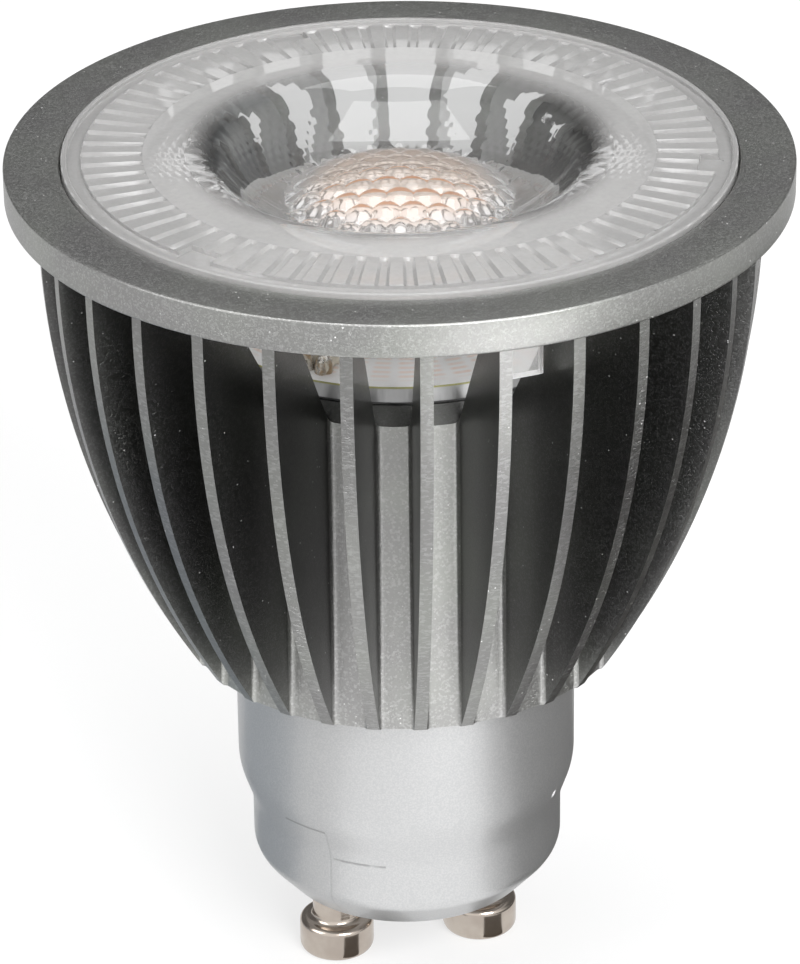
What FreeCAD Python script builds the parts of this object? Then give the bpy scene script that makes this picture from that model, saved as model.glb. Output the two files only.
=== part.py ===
import FreeCAD, Part
import math
import os
import re
import Sketcher

# A spotlight bulb with a twist-lock base: finned heat sink, clear lens, plastic base, driver inside.
# Millimetres and degrees. +Z is up, the origin is midway between the undersides of the two pins,
# and the pins stand on the X axis.

SIZES = (
    ("PinPitch", 10.0, "distance between the axes of the two contact pins"),
    ("PinHeadRadius", 2.5, "thick end of a contact pin"),
    ("PinHeadHeight", 2.4, "height of the thick end"),
    ("PinHeadRound", 0.45, "rounding of the lower edge of the thick end"),
    ("PinNeckRadius", 1.6, "neck of a pin"),
    ("PinNeckLength", 3.7, "neck from the thick end to the housing's face"),
    ("RivetRadius", 2.2, "rivet collar of a pin inside the housing"),
    ("RivetHeight", 0.8, "height of the rivet collar"),
    ("FitGap", 0.05, "clearance all round a piece that sits in a hole or slot"),

    ("BaseFaceRadius", 8.3, "flat end of the housing"),
    ("BevelHeight", 2.3, "bevel above the flat end"),
    ("BevelRound", 0.9, "rounding of the bevel's upper edge"),
    ("BaseFaceRound", 0.4, "rounding of the bevel's lower edge"),
    ("LowerRadius", 10.3, "lower cylinder of the housing"),
    ("LowerHeight", 3.6, "height of the lower cylinder"),
    ("TaperHeight", 2.6, "taper between the two cylinders"),
    ("UpperRadius", 11.2, "upper cylinder of the housing, which goes on into the core's bore"),
    ("UpperHeight", 9.8, "upper cylinder that shows below the heat sink"),
    ("HousingWall", 1.3, "wall of the housing"),
    ("FloorThickness", 2.0, "floor that the pins are riveted into"),
    ("BossReach", 9.1, "axis of the lamp to the axis of a screw boss"),
    ("BossRadius", 1.9, "screw boss"),
    ("BossHeight", 9.0, "screw boss, down from the top of the housing"),
    ("RailWidth", 3.6, "guide rail, across the driver board"),
    ("RailTop", 36.0, "upper end of the guide rails and of the driver board"),
    ("RailStop", 1.0, "closed lower end of a rail's slot"),
    ("RailGrip", 0.8, "driver board's edge inside the rail"),
    ("NotchWidth", 3.4, "notch for the leads in the top of the housing"),
    ("NotchDepth", 5.0, "depth of that notch"),

    ("SinkRadius", 14.4, "lower end of the fins' outline"),
    ("SinkHeight", 31.6, "lower end of the fins to the underside of the rim"),
    ("FinTopRadius", 23.0, "fins' outline under the rim"),
    ("FinArcRadius", 56.8, "arc that the fins' outline is turned to"),
    ("FinCount", 30, "number of fins"),
    ("FinThickness", 0.8, "thickness of a fin"),
    ("SlotPhase", 1.69, "turn of the first slot between two fins from the X axis"),
    ("CoreRadius", 14.0, "flat faces of the core between the fins"),
    ("CoreHeight", 22.7, "core from the lower end of the fins to its top"),
    ("CoreTopRadius", 13.5, "top of the core, which the board lies on"),
    ("ThroatLip", 0.15, "lowest part of the throat outside the core's flat faces"),
    ("PlateThickness", 3.0, "closed top of the core"),
    ("BoreGap", 0.1, "clearance between the housing and the core's bore"),
    ("RimRadius", 25.0, "rim ring"),
    ("RimHeight", 2.2, "height of the rim ring"),
    ("RimChamfer", 0.25, "chamfers of the rim ring"),
    ("RimOpening", 21.5, "opening of the rim that takes the lens"),
    ("LedgeDepth", 1.5, "ledge for the lens below the top of the rim"),
    ("ThroatRadius", 20.9, "conical throat inside the fins, at the ledge"),
    ("ThroatDepth", 10.8, "throat from the ledge down to the core"),

    ("ThermalPadRadius", 13.3, "thermal pad on the core"),
    ("ThermalPadThickness", 0.2, "thermal pad"),
    ("BoardRadius", 13.5, "light source's board"),
    ("BoardThickness", 1.1, "light source's board"),
    ("PackageWidth", 9.8, "ceramic carrier of the light source"),
    ("PackageHeight", 2.0, "ceramic carrier of the light source"),
    ("PhosphorRadius", 4.7, "light source"),
    ("PhosphorRise", 0.4, "crown of the light source"),
    ("BoardScrewCircle", 11.7, "axis of the lamp to a board screw"),
    ("BoardScrewPhase", 75.0, "turn of the first board screw from the X axis"),
    ("BoardScrewCount", 3, "number of board screws"),
    ("BoardScrewRadius", 0.8, "shank of a board screw"),
    ("BoardScrewBite", 2.6, "board screw inside the core"),
    ("BoardScrewHeadRadius", 1.6, "head of a board screw"),
    ("BoardScrewHeadHeight", 1.0, "head of a board screw"),
    ("HousingScrewRadius", 1.0, "shank of a housing screw"),
    ("HousingScrewLength", 9.0, "housing screw from its flush head to its end"),
    ("HousingScrewHeadRadius", 1.9, "countersunk head of a housing screw"),
    ("HousingScrewHeadHeight", 1.1, "countersunk head of a housing screw"),
    ("RecessWidth", 0.45, "arm of a screw head's cross recess"),
    ("RecessDepth", 0.6, "cross recess of a screw head"),

    ("LensProud", 0.3, "top of the lens above the top of the rim"),
    ("LensGap", 0.15, "clearance between the lens and the rim's opening"),
    ("StepOuter", 21.0, "outer edge of the shallow ring step round the ribs"),
    ("StepDepth", 0.3, "depth of that step"),
    ("RibInner", 16.2, "inner ends of the flange's radial flutes"),
    ("RibOuter", 20.1, "outer ends of the flange's radial flutes"),
    ("RibCount", 72, "number of flutes"),
    ("RibWidth", 0.45, "width of a flute"),
    ("RibDepth", 0.2, "depth of a flute"),
    ("WellRadius", 12.0, "rim of the well in the middle of the lens"),
    ("WellDepth", 3.3, "depth of the well"),
    ("WellArcRadius", 9.0, "hollow curve of the well's wall"),
    ("DomeRadius", 7.4, "foot of the dome in the well"),
    ("DomeRise", 1.9, "rise of the dome"),
    ("ConeTopRadius", 16.0, "reflecting cone where it meets the flange"),
    ("ConeFootRadius", 8.5, "foot of the reflecting cone on the board"),
    ("FootWidth", 0.9, "width of the cone's foot"),
    ("CavityRadius", 6.8, "upper end of the hollow over the light source"),
    ("CavityHeight", 3.6, "hollow over the light source"),
    ("CavityBulge", 0.8, "collecting surface that bulges down into the hollow"),
    ("LegCount", 3, "number of snap legs"),
    ("LegSlot", 7, "slot that holds the first snap leg, counted backwards from the first slot"),
    ("LegGap", 0.3, "clearance between a snap leg and the throat"),
    ("LegThickness", 1.1, "thickness of a snap leg"),
    ("LegWidth", 2.5, "width of a snap leg"),
    ("LegLength", 5.1, "snap leg below the flange"),
    ("HookDepth", 0.7, "hook of a snap leg under the rim"),
    ("HookHeight", 0.8, "height of that hook"),
    ("MarkInner", 18.9, "inner edge of the recesses between the legs"),
    ("MarkOuter", 20.1, "outer edge of those recesses"),
    ("MarkWidth", 2.4, "width of those recesses"),
    ("MarkDepth", 0.35, "depth of those recesses"),

    ("DriverOffset", 1.5, "mid-plane of the driver board behind the lamp's axis"),
    ("DriverThickness", 1.2, "driver board"),
    ("DriverWidth", 16.8, "driver board between the bottoms of the rail slots"),
    ("DriverClear", 2.0, "driver board's foot above the rivets"),
    ("FootGap", 0.3, "clearance between the board's foot and the rails"),
    ("WireRadius", 0.45, "insulated wire"),
    ("WireBend", 0.7, "bend of a wire at its end"),
    ("WireTop", 13.4, "height at which the mains wires enter the driver board"),
    ("LeadAngle", -130.0, "direction of the light source's leads from the lamp's axis"),
    ("LeadReach", 10.4, "leads where they pass through the core's top"),
    ("LeadHoleRadius", 1.4, "hole for the two leads"),
    ("LeadSpread", 1.2, "distance between the two leads"),
    ("LeadEnd", 12.6, "soldered ends of the leads"),
    ("LeadRise", 3.0, "straight run of a lead above the driver board"),

    ("CoilCoreWidth", 10.0, "transformer core, across"),
    ("CoilCoreHeight", 10.0, "transformer core, upwards"),
    ("CoilCoreDepth", 5.0, "transformer core, away from the board"),
    ("CoilLimb", 2.6, "middle limb of the core"),
    ("CoilSide", 1.3, "outer limbs of the core"),
    ("CoilYoke", 1.8, "yokes of the core"),
    ("CoilBuild", 1.4, "winding round the core, front and back"),
    ("CoilGap", 0.2, "transformer above the parts below it"),
    ("InputCanRadius", 3.15, "input capacitor"),
    ("InputCanLength", 8.5, "input capacitor"),
    ("OutputCanRadius", 2.5, "output capacitor"),
    ("OutputCanLength", 8.0, "output capacitor"),
    ("OutputCanGap", 0.4, "output capacitor above the fusible resistor's wire end"),
    ("ChokeRadius", 2.6, "choke"),
    ("ChokeWaist", 2.1, "winding between the choke's flanges"),
    ("ChokeFlange", 0.9, "flanges of the choke"),
    ("ChokeLength", 7.0, "choke"),
    ("PartsRise", 4.9, "parts below the transformer above the driver board's foot"),
    ("PartsReach", 3.8, "distance of the round parts from the middle of the driver board"),
    ("CrimpInset", 0.35, "crimp groove of a capacitor's can"),
    ("CrimpHeight", 1.5, "crimp groove above the can's lower end"),
    ("BridgeWidth", 4.8, "bridge rectifier, across"),
    ("BridgeHeight", 4.0, "bridge rectifier, upwards"),
    ("BridgeDepth", 2.3, "bridge rectifier, away from the board"),
    ("BridgeGap", 3.6, "bridge rectifier above the controller chip"),
    ("ChipWidth", 4.0, "controller chip, across"),
    ("ChipHeight", 4.9, "controller chip, upwards"),
    ("ChipDepth", 1.5, "controller chip, away from the board"),
    ("ChipRise", 2.7, "controller chip above the lower ends of the parts on the front"),
    ("ChipSide", 6.0, "outer edge of the chips from the middle of the driver board"),
    ("ChipLegs", 4, "legs on each side of the controller chip"),
    ("LegSize", 0.45, "width and thickness of a chip's leg"),
    ("LegStand", 0.9, "length of a chip's leg"),
    ("FuseRadius", 1.4, "fusible resistor"),
    ("FuseLength", 6.5, "fusible resistor"),
    ("FuseStand", 0.3, "fusible resistor off the driver board"),
    ("TailRadius", 0.3, "bare wire end of a part"),
    ("TailLength", 1.0, "straight wire end before its bend to the board"),
)

# Heights and places that follow from the sizes.
LEVELS = (
    ("BaseFace", "PinHeadHeight + PinNeckLength", "flat end of the housing"),
    ("BevelTop", "BaseFace + BevelHeight", "upper edge of the bevel"),
    ("TaperBottom", "BevelTop + LowerHeight", "lower edge of the taper"),
    ("TaperTop", "TaperBottom + TaperHeight", "upper edge of the taper"),
    ("SinkBottom", "TaperTop + UpperHeight", "lower end of the heat sink"),
    ("CoreTop", "SinkBottom + CoreHeight", "top of the core"),
    ("PlateBottom", "CoreTop - PlateThickness", "underside of the core's closed top"),
    ("RimBottom", "SinkBottom + SinkHeight", "underside of the rim"),
    ("RimTop", "RimBottom + RimHeight", "top of the rim"),
    ("Ledge", "RimTop - LedgeDepth", "ledge that the lens rests on"),
    ("LedgeDrop", "Ledge - RimBottom", "ledge to the underside of the rim"),
    ("ThroatBottom", "Ledge - ThroatDepth", "lower end of the throat"),
    ("BoreRadius", "UpperRadius + BoreGap", "bore of the core"),
    ("InnerRadius", "UpperRadius - HousingWall", "inside of the housing's upper cylinder"),
    ("FloorTop", "BaseFace + FloorThickness", "inside of the housing's floor"),
    ("RivetTop", "FloorTop + RivetHeight", "upper end of a pin"),
    ("PadTop", "CoreTop + ThermalPadThickness", "top of the thermal pad"),
    ("BoardTop", "PadTop + BoardThickness", "top of the light source's board"),
    ("PackageTop", "BoardTop + PackageHeight", "top of the ceramic carrier"),
    ("LensTop", "RimTop + LensProud", "top of the lens"),
    ("LensRadius", "RimOpening - LensGap", "edge of the lens"),
    ("WellBottom", "LensTop - WellDepth", "bottom of the well"),
    ("CavityTop", "BoardTop + CavityHeight", "upper edge of the hollow over the light source"),
    ("FinPitch", "360 / FinCount", "angle from fin to fin"),
    ("LegStep", "round(FinCount / LegCount) * FinPitch", "angle from snap leg to snap leg"),
    ("LegPhase", "SlotPhase - LegSlot * FinPitch", "direction of the first snap leg"),
    ("ThroatSlope", "(ThroatRadius - CoreRadius - ThroatLip) / ThroatDepth", "widening of the throat with height"),
    ("LegReach", "ThroatRadius - LedgeDrop * ThroatSlope - LegGap", "outer face of a snap leg"),
    ("FrontFace", "DriverThickness / 2 - DriverOffset", "front of the driver board"),
    ("BackFace", "-DriverThickness / 2 - DriverOffset", "back of the driver board"),
    ("RailBottom", "TaperTop", "lower end of the guide rails"),
    ("RailInner", "DriverWidth / 2 - RailGrip", "inner faces of the guide rails"),
    ("DriverStop", "RailBottom + RailStop", "shoulders of the driver board"),
    ("DriverBottom", "RivetTop + DriverClear", "lower edge of the driver board"),
    ("LowerPartsBase", "DriverBottom + PartsRise", "lower end of the parts below the transformer"),
    ("CoilBase", "LowerPartsBase + max(InputCanLength; ChokeLength) + CoilGap", "lower end of the transformer"),
    ("FuseTop", "LowerPartsBase + FuseLength + TailLength + TailRadius", "bent wire end of the fusible resistor"),
    ("OutputCanBase", "FuseTop + OutputCanGap", "lower end of the output capacitor"),
    ("ChipBase", "LowerPartsBase + ChipRise", "lower edge of the controller chip"),
    ("BridgeBase", "ChipBase + ChipHeight + BridgeGap", "lower edge of the bridge rectifier"),
)

FULL_TURN = 360.0
SHEET_FIRST_ROW = 2

doc = FreeCAD.newDocument("SpotlightBulb")
sheet = doc.addObject("Spreadsheet::Sheet", "Sizes")
pieces = []


def fill_sheet():
    """Write the driving sizes and the levels that follow from them, one named cell each."""
    rows = [(name, repr(number), note) for name, number, note in SIZES]
    rows += [(name, "=" + rule, note) for name, rule, note in LEVELS]
    for row, (name, content, note) in enumerate(rows, SHEET_FIRST_ROW):
        sheet.set(f"A{row}", name)
        sheet.set(f"B{row}", content)
        sheet.setAlias(f"B{row}", name)
        sheet.set(f"C{row}", note)
    doc.recompute()


def formula(text):
    """The same formula as other objects read it, with each name taken from the sheet."""
    return re.sub(r"\b([A-Z][A-Za-z]+)", r"Sizes.\1", text)


def size(text):
    """The present value of a formula in the sheet's names."""
    return float(sheet.evalExpression(text))


def bind(thing, **rules):
    """Tie properties to formulas; a double underscore in a name stands for a dot."""
    for name, rule in rules.items():
        thing.setExpression(name.replace("__", "."), formula(rule))
    return thing


def keep(thing, label):
    """Name a finished sub-part."""
    thing.Label = label
    pieces.append(thing)
    return thing


class Outline:
    """A sketch whose corners, arcs and circles follow formulas."""

    def __init__(self, body, name, plane, lift="0", turn="0"):
        origin = next(item for item in body.Origin.OriginFeatures if item.Role == plane)
        self.sketch = body.newObject("Sketcher::SketchObject", name)
        self.sketch.AttachmentSupport = (origin, [""])
        self.sketch.MapMode = "FlatFace"
        bind(self.sketch, AttachmentOffset__Base__z=lift, AttachmentOffset__Rotation__Angle=turn)

    def tie(self, kind, *where_and_rule):
        *where, rule = where_and_rule
        index = self.sketch.addConstraint(Sketcher.Constraint(kind, *where, size(rule)))
        self.sketch.setExpression(f"Constraints[{index}]", formula(rule))

    def place(self, edge, end, across, up):
        for kind, axis, rule in (("DistanceX", -2, across), ("DistanceY", -1, up)):
            if rule == "0":
                self.sketch.addConstraint(Sketcher.Constraint("PointOnObject", edge, end, axis))
            else:
                self.tie(kind, -1, 1, edge, end, rule)

    def arc(self, start, end, radius, side):
        """An arc of under half a turn; side 1 has its centre to the left of the way, -1 to the right."""
        chord = end - start
        rise = math.sqrt(radius ** 2 - (chord.Length / 2) ** 2)
        left = FreeCAD.Vector(-chord.y, chord.x, 0).normalize()
        centre = (start + end) / 2 + left * (side * rise)
        circle = Part.Circle(centre, FreeCAD.Vector(0, 0, 1), radius)
        first, last = (start, end) if side > 0 else (end, start)
        angles = [math.atan2(point.y - centre.y, point.x - centre.x) for point in (first, last)]
        return Part.ArcOfCircle(circle, *angles)

    def loop(self, *corners):
        """A closed outline. A corner is (across, up), with (radius, side) after it where an arc leaves it."""
        points = [FreeCAD.Vector(size(corner[0]), size(corner[1]), 0) for corner in corners]
        ends = []
        for index, corner in enumerate(corners):
            start, end = points[index], points[(index + 1) % len(points)]
            if len(corner) == 2:
                edge = self.sketch.addGeometry(Part.LineSegment(start, end), False)
                ends.append((edge, 1, 2))
                continue
            radius, side = corner[2:]
            edge = self.sketch.addGeometry(self.arc(start, end, size(radius), side), False)
            ends.append((edge, 1, 2) if side > 0 else (edge, 2, 1))
        for index, (edge, first, last) in enumerate(ends):
            next_edge, next_first, _ = ends[(index + 1) % len(ends)]
            self.sketch.addConstraint(Sketcher.Constraint("Coincident", edge, last, next_edge, next_first))
        for (edge, first, last), corner in zip(ends, corners):
            self.place(edge, first, *corner[:2])
            if len(corner) > 2:
                self.tie("Radius", edge, corner[2])
        return self

    def circle(self, across, up, radius):
        centre = FreeCAD.Vector(size(across), size(up), 0)
        ring = Part.Circle(centre, FreeCAD.Vector(0, 0, 1), size(radius))
        edge = self.sketch.addGeometry(ring, False)
        self.place(edge, 3, across, up)
        self.tie("Radius", edge, radius)
        return self


def new_body(name):
    return doc.addObject("PartDesign::Body", name)


def turned(body, name, *corners):
    """A solid of revolution about the vertical axis, from its half section."""
    outline = Outline(body, name + "Section", "XZ_Plane").loop(*corners)
    solid = body.newObject("PartDesign::Revolution", name)
    solid.Profile = outline.sketch
    solid.ReferenceAxis = (outline.sketch, ["V_Axis"])
    solid.Angle = FULL_TURN
    doc.recompute()
    return solid


def grown(body, name, outline, length, down=False):
    """A pad from an outline, upwards or downwards."""
    pad = body.newObject("PartDesign::Pad", name)
    pad.Profile = outline.sketch
    pad.Reversed = down
    bind(pad, Length=length)
    doc.recompute()
    return pad


def cut(body, name, outline, depth):
    """A pocket from an outline downwards; it has to take something away."""
    before = body.Shape.Volume
    pocket = body.newObject("PartDesign::Pocket", name)
    pocket.Profile = outline.sketch
    bind(pocket, Length=depth)
    doc.recompute()
    if pocket.Shape.Volume >= before:
        raise RuntimeError(name + " cuts nothing")
    return pocket


def ringed(body, name, features, outline, count, angle=None):
    """Copies of features round the vertical axis, over a full turn or over a given angle."""
    pattern = body.newObject("PartDesign::PolarPattern", name)
    pattern.Originals = features
    pattern.Axis = (outline.sketch, ["N_Axis"])
    pattern.Angle = FULL_TURN
    bind(pattern, Occurrences=count)
    if angle:
        bind(pattern, Angle=angle)
    body.Tip = pattern
    doc.recompute()
    return pattern


def rounded(body, name, radius, *rings):
    """Fillets on round edges, each found by its radius and height."""
    base = body.Tip
    found = []
    for ring, height in rings:
        place = size(ring), size(height)
        for number, edge in enumerate(base.Shape.Edges, 1):
            if isinstance(edge.Curve, Part.Circle):
                where = edge.Curve.Radius, edge.Curve.Center.z
                if math.dist(where, place) < size("FitGap") / 2:
                    found.append(f"Edge{number}")
    fillet = body.newObject("PartDesign::Fillet", name)
    fillet.Base = (base, found)
    bind(fillet, Radius=radius)
    doc.recompute()
    return fillet


def box(name, x, y, z, length, width, height):
    """A block from its lowest corner and its three sides."""
    block = doc.addObject("Part::Box", name)
    return bind(block, Length=length, Width=width, Height=height,
                Placement__Base__x=x, Placement__Base__y=y, Placement__Base__z=z)


def rod(name, x, y, z, radius, height):
    """An upright cylinder from the middle of its lower end."""
    cylinder = doc.addObject("Part::Cylinder", name)
    return bind(cylinder, Radius=radius, Height=height,
                Placement__Base__x=x, Placement__Base__y=y, Placement__Base__z=z)


def joined(name, *solids):
    whole = doc.addObject("Part::MultiFuse", name)
    whole.Shapes = solids
    return whole


def less(name, solid, *tools):
    """A solid with others cut from it."""
    for number, tool in enumerate(tools):
        step = doc.addObject("Part::Cut", f"{name}{number}")
        step.Base, step.Tool = solid, tool
        solid = step
    return solid


def sheet_disc(name, radius, lift, thickness):
    """A round sheet on the core with holes for its screws and for the leads."""
    body = new_body(name)
    outline = Outline(body, name + "Outline", "XY_Plane", lift).circle("0", "0", radius)
    for number in range(int(size("BoardScrewCount"))):
        turn = f"(BoardScrewPhase + {number} * 360 / BoardScrewCount)"
        outline.circle(f"BoardScrewCircle * cos{turn}", f"BoardScrewCircle * sin{turn}",
                       "BoardScrewRadius + FitGap")
    outline.circle("LeadReach * cos(LeadAngle)", "LeadReach * sin(LeadAngle)", "LeadHoleRadius")
    grown(body, name + "Sheet", outline, thickness)
    return body


def base_housing():
    """The base: a moulded cup with its sleeve, screw bosses and rails for the driver board."""
    body = new_body("Housing")
    turned(body, "HousingShell",
           ("0", "BaseFace"), ("BaseFaceRadius", "BaseFace"), ("LowerRadius", "BevelTop"),
           ("LowerRadius", "TaperBottom"), ("UpperRadius", "TaperTop"), ("UpperRadius", "PlateBottom"),
           ("InnerRadius", "PlateBottom"), ("InnerRadius", "TaperTop"),
           ("LowerRadius - HousingWall", "TaperBottom"), ("LowerRadius - HousingWall", "FloorTop"),
           ("0", "FloorTop"))
    rounded(body, "BevelRounding", "BevelRound", ("LowerRadius", "BevelTop"))
    rounded(body, "FaceRounding", "BaseFaceRound", ("BaseFaceRadius", "BaseFace"))

    bosses = Outline(body, "BossOutline", "XY_Plane", "PlateBottom - BossHeight")
    bosses.circle("0", "BossReach", "BossRadius").circle("0", "-BossReach", "BossRadius")
    grown(body, "Bosses", bosses, "BossHeight")

    rails = Outline(body, "RailOutline", "XY_Plane", "RailBottom")
    wall, far_wall = "InnerRadius + HousingWall / 2", "-InnerRadius - HousingWall / 2"
    low, high = "-DriverOffset - RailWidth / 2", "-DriverOffset + RailWidth / 2"
    rails.loop(("RailInner", low), (wall, low), (wall, high), ("RailInner", high))
    rails.loop(("-RailInner", low), (far_wall, low), (far_wall, high), ("-RailInner", high))
    grown(body, "Rails", rails, "RailTop - RailBottom")

    slots = Outline(body, "RailSlotOutline", "XY_Plane", "RailTop")
    half, low, high = "DriverWidth / 2 + FitGap", "BackFace - FitGap", "FrontFace + FitGap"
    slots.loop(("-DriverWidth / 2 - FitGap", low), (half, low), (half, high),
               ("-DriverWidth / 2 - FitGap", high))
    cut(body, "RailSlots", slots, "RailTop - DriverStop")

    holes = Outline(body, "PinHoleOutline", "XY_Plane", "FloorTop")
    hole = "PinNeckRadius + FitGap"
    holes.circle("PinPitch / 2", "0", hole).circle("-PinPitch / 2", "0", hole)
    cut(body, "PinHoles", holes, "FloorThickness")

    pilots = Outline(body, "PilotOutline", "XY_Plane", "PlateBottom")
    pilot = "HousingScrewRadius + FitGap"
    pilots.circle("0", "BossReach", pilot).circle("0", "-BossReach", pilot)
    cut(body, "Pilots", pilots, "HousingScrewLength - PlateThickness + FitGap")

    notch = Outline(body, "NotchOutline", "XY_Plane", "PlateBottom", "LeadAngle")
    inner, outer = "InnerRadius - HousingWall", "UpperRadius + HousingWall"
    notch.loop((inner, "-NotchWidth / 2"), (outer, "-NotchWidth / 2"),
               (outer, "NotchWidth / 2"), (inner, "NotchWidth / 2"))
    cut(body, "LeadNotch", notch, "NotchDepth")
    keep(body, "base_housing")


def contact_pin(label, place):
    """A turned pin with a thick head, riveted over inside and bored for its wire."""
    body = new_body("Pin" + label)
    bore = "WireRadius + FitGap"
    turned(body, "Pin" + label + "Solid",
           ("0", "0"), ("PinHeadRadius - PinHeadRound", "0", "PinHeadRound", 1),
           ("PinHeadRadius", "PinHeadRound"), ("PinHeadRadius", "PinHeadHeight"),
           ("PinNeckRadius", "PinHeadHeight"), ("PinNeckRadius", "FloorTop"), ("RivetRadius", "FloorTop"),
           ("RivetRadius", "RivetTop"), (bore, "RivetTop"), (bore, "BaseFace"), ("0", "BaseFace"))
    bind(body, Placement__Base__x=place)
    keep(body, "contact_pin_" + label.lower())


def heat_sink():
    """Rim, fins and core in one piece: turned outline and throat, then slots all round."""
    body = new_body("HeatSink")
    edge = "RimChamfer"
    turned(body, "SinkTurning",
           ("BoreRadius", "SinkBottom"), ("SinkRadius", "SinkBottom", "FinArcRadius", 1),
           ("FinTopRadius", "RimBottom"), (f"RimRadius - {edge}", "RimBottom"),
           ("RimRadius", f"RimBottom + {edge}"), ("RimRadius", f"RimTop - {edge}"),
           (f"RimRadius - {edge}", "RimTop"), ("RimOpening", "RimTop"), ("RimOpening", "Ledge"),
           ("ThroatRadius", "Ledge"), ("CoreRadius + ThroatLip", "ThroatBottom"),
           ("CoreTopRadius", "CoreTop"), ("0", "CoreTop"), ("0", "PlateBottom"),
           ("BoreRadius", "PlateBottom"))

    slot = Outline(body, "SlotOutline", "XY_Plane", "RimBottom", "SlotPhase")
    outer = "RimRadius + RimHeight"
    side = "tan(FinPitch / 2) - FinThickness / 2 / cos(FinPitch / 2)"
    slot.loop(("CoreRadius", f"-(CoreRadius * {side})"), (outer, f"-(({outer}) * {side})"),
              (outer, f"({outer}) * {side}"), ("CoreRadius", f"CoreRadius * {side}"))
    first = cut(body, "Slot", slot, "SinkHeight + RimHeight")
    ringed(body, "Slots", [first], slot, "FinCount")

    lead = Outline(body, "LeadHoleOutline", "XY_Plane", "CoreTop")
    lead.circle("LeadReach * cos(LeadAngle)", "LeadReach * sin(LeadAngle)", "LeadHoleRadius")
    cut(body, "LeadHole", lead, "PlateThickness")

    shanks = Outline(body, "HousingScrewOutline", "XY_Plane", "CoreTop")
    hole = "HousingScrewRadius + FitGap"
    shanks.circle("0", "BossReach", hole).circle("0", "-BossReach", hole)
    cut(body, "HousingScrewHoles", shanks, "PlateThickness")
    for number, way in enumerate(("", "-")):
        countersink(body, f"Countersink{number}", way + "BossReach")

    tapped = Outline(body, "BoardScrewOutline", "XY_Plane", "CoreTop", "BoardScrewPhase")
    tapped.circle("BoardScrewCircle", "0", "BoardScrewRadius + FitGap")
    hole = cut(body, "BoardScrewHole", tapped, "BoardScrewBite + FitGap")
    ringed(body, "BoardScrewHoles", [hole], tapped, "BoardScrewCount")
    keep(body, "heat_sink")


def countersink(body, name, place):
    """A conical seat in the core's top, wide end up."""
    cone = body.newObject("PartDesign::SubtractiveCone", name)
    bind(cone, Radius1="HousingScrewRadius + FitGap", Radius2="HousingScrewHeadRadius + FitGap",
         Height="HousingScrewHeadHeight", Placement__Base__y=place,
         Placement__Base__z="CoreTop - HousingScrewHeadHeight")
    doc.recompute()


def lens():
    """One clear moulding: fluted flange, well with a dome, reflecting cone and three snap legs."""
    body = new_body("Lens")
    foot = "ConeFootRadius - FootWidth"
    dome = "(DomeRadius ^ 2 + DomeRise ^ 2) / (2 * DomeRise)"
    bulge = "(CavityRadius ^ 2 + CavityBulge ^ 2) / (2 * CavityBulge)"
    turned(body, "LensTurning",
           ("LensRadius", "Ledge"), ("LensRadius", "LensTop"), ("StepOuter", "LensTop"),
           ("StepOuter", "LensTop - StepDepth"), ("RibOuter", "LensTop - StepDepth"),
           ("RibOuter", "LensTop"), ("WellRadius", "LensTop", "WellArcRadius", -1),
           ("DomeRadius", "WellBottom", dome, 1), ("0", "WellBottom + DomeRise"),
           ("0", "CavityTop - CavityBulge", bulge, 1), ("CavityRadius", "CavityTop"),
           (foot, "BoardTop"), ("ConeFootRadius", "BoardTop"), ("ConeTopRadius", "Ledge"))

    leg = Outline(body, "LegOutline", "XY_Plane", "Ledge", "LegPhase")
    inner, half = "LegReach - LegThickness", "LegWidth / 2"
    leg.loop((inner, "-" + half), ("LegReach", "-" + half), ("LegReach", half), (inner, half))
    legs = [grown(body, "Leg", leg, "LegLength", down=True)]
    hook = Outline(body, "HookOutline", "XY_Plane", "RimBottom - FitGap", "LegPhase")
    outer = "LegReach + HookDepth"
    hook.loop((inner, "-" + half), (outer, "-" + half), (outer, half), (inner, half))
    legs.append(grown(body, "Hook", hook, "HookHeight", down=True))
    ringed(body, "Legs", legs, leg, "LegCount", "(LegCount - 1) * LegStep")

    flute = Outline(body, "FluteOutline", "XY_Plane", "LensTop", "LegPhase")
    half = "RibWidth / 2"
    flute.loop(("RibInner", "-" + half), ("RibOuter", "-" + half), ("RibOuter", half), ("RibInner", half))
    ringed(body, "Flutes", [cut(body, "Flute", flute, "RibDepth")], flute, "RibCount")

    mark = Outline(body, "MarkOutline", "XY_Plane", "LensTop", "LegPhase + LegStep / 2")
    half = "MarkWidth / 2"
    mark.loop(("MarkInner", "-" + half), ("MarkOuter", "-" + half), ("MarkOuter", half), ("MarkInner", half))
    marks = cut(body, "Mark", mark, "MarkDepth")
    ringed(body, "Marks", [marks], mark, "LegCount", "(LegCount - 1) * LegStep")
    keep(body, "lens")


def light_source():
    """The thermal pad, the board and the source itself with its ceramic carrier."""
    keep(sheet_disc("ThermalPad", "ThermalPadRadius", "CoreTop", "ThermalPadThickness"), "thermal_pad")
    keep(sheet_disc("Board", "BoardRadius", "PadTop", "BoardThickness"), "led_board")
    half = "-PackageWidth / 2"
    keep(box("Package", half, half, "BoardTop", "PackageWidth", "PackageWidth", "PackageHeight"), "led_package")
    body = new_body("Phosphor")
    crown = "(PhosphorRadius ^ 2 + PhosphorRise ^ 2) / (2 * PhosphorRise)"
    turned(body, "PhosphorCrown", ("0", "PackageTop"), ("PhosphorRadius", "PackageTop", crown, 1),
           ("0", "PackageTop + PhosphorRise"))
    keep(body, "led_phosphor")


def recess(name, x, y, top):
    """The two crossed blocks that cut a screw head's recess."""
    arm = "2 * RecessDepth"
    for number, (length, width) in enumerate(((arm, "RecessWidth"), ("RecessWidth", arm))):
        yield box(f"{name}{number}", f"{x} - {length} / 2", f"{y} - {width} / 2",
                  f"{top} - RecessDepth", length, width, "RecessDepth")


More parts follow.
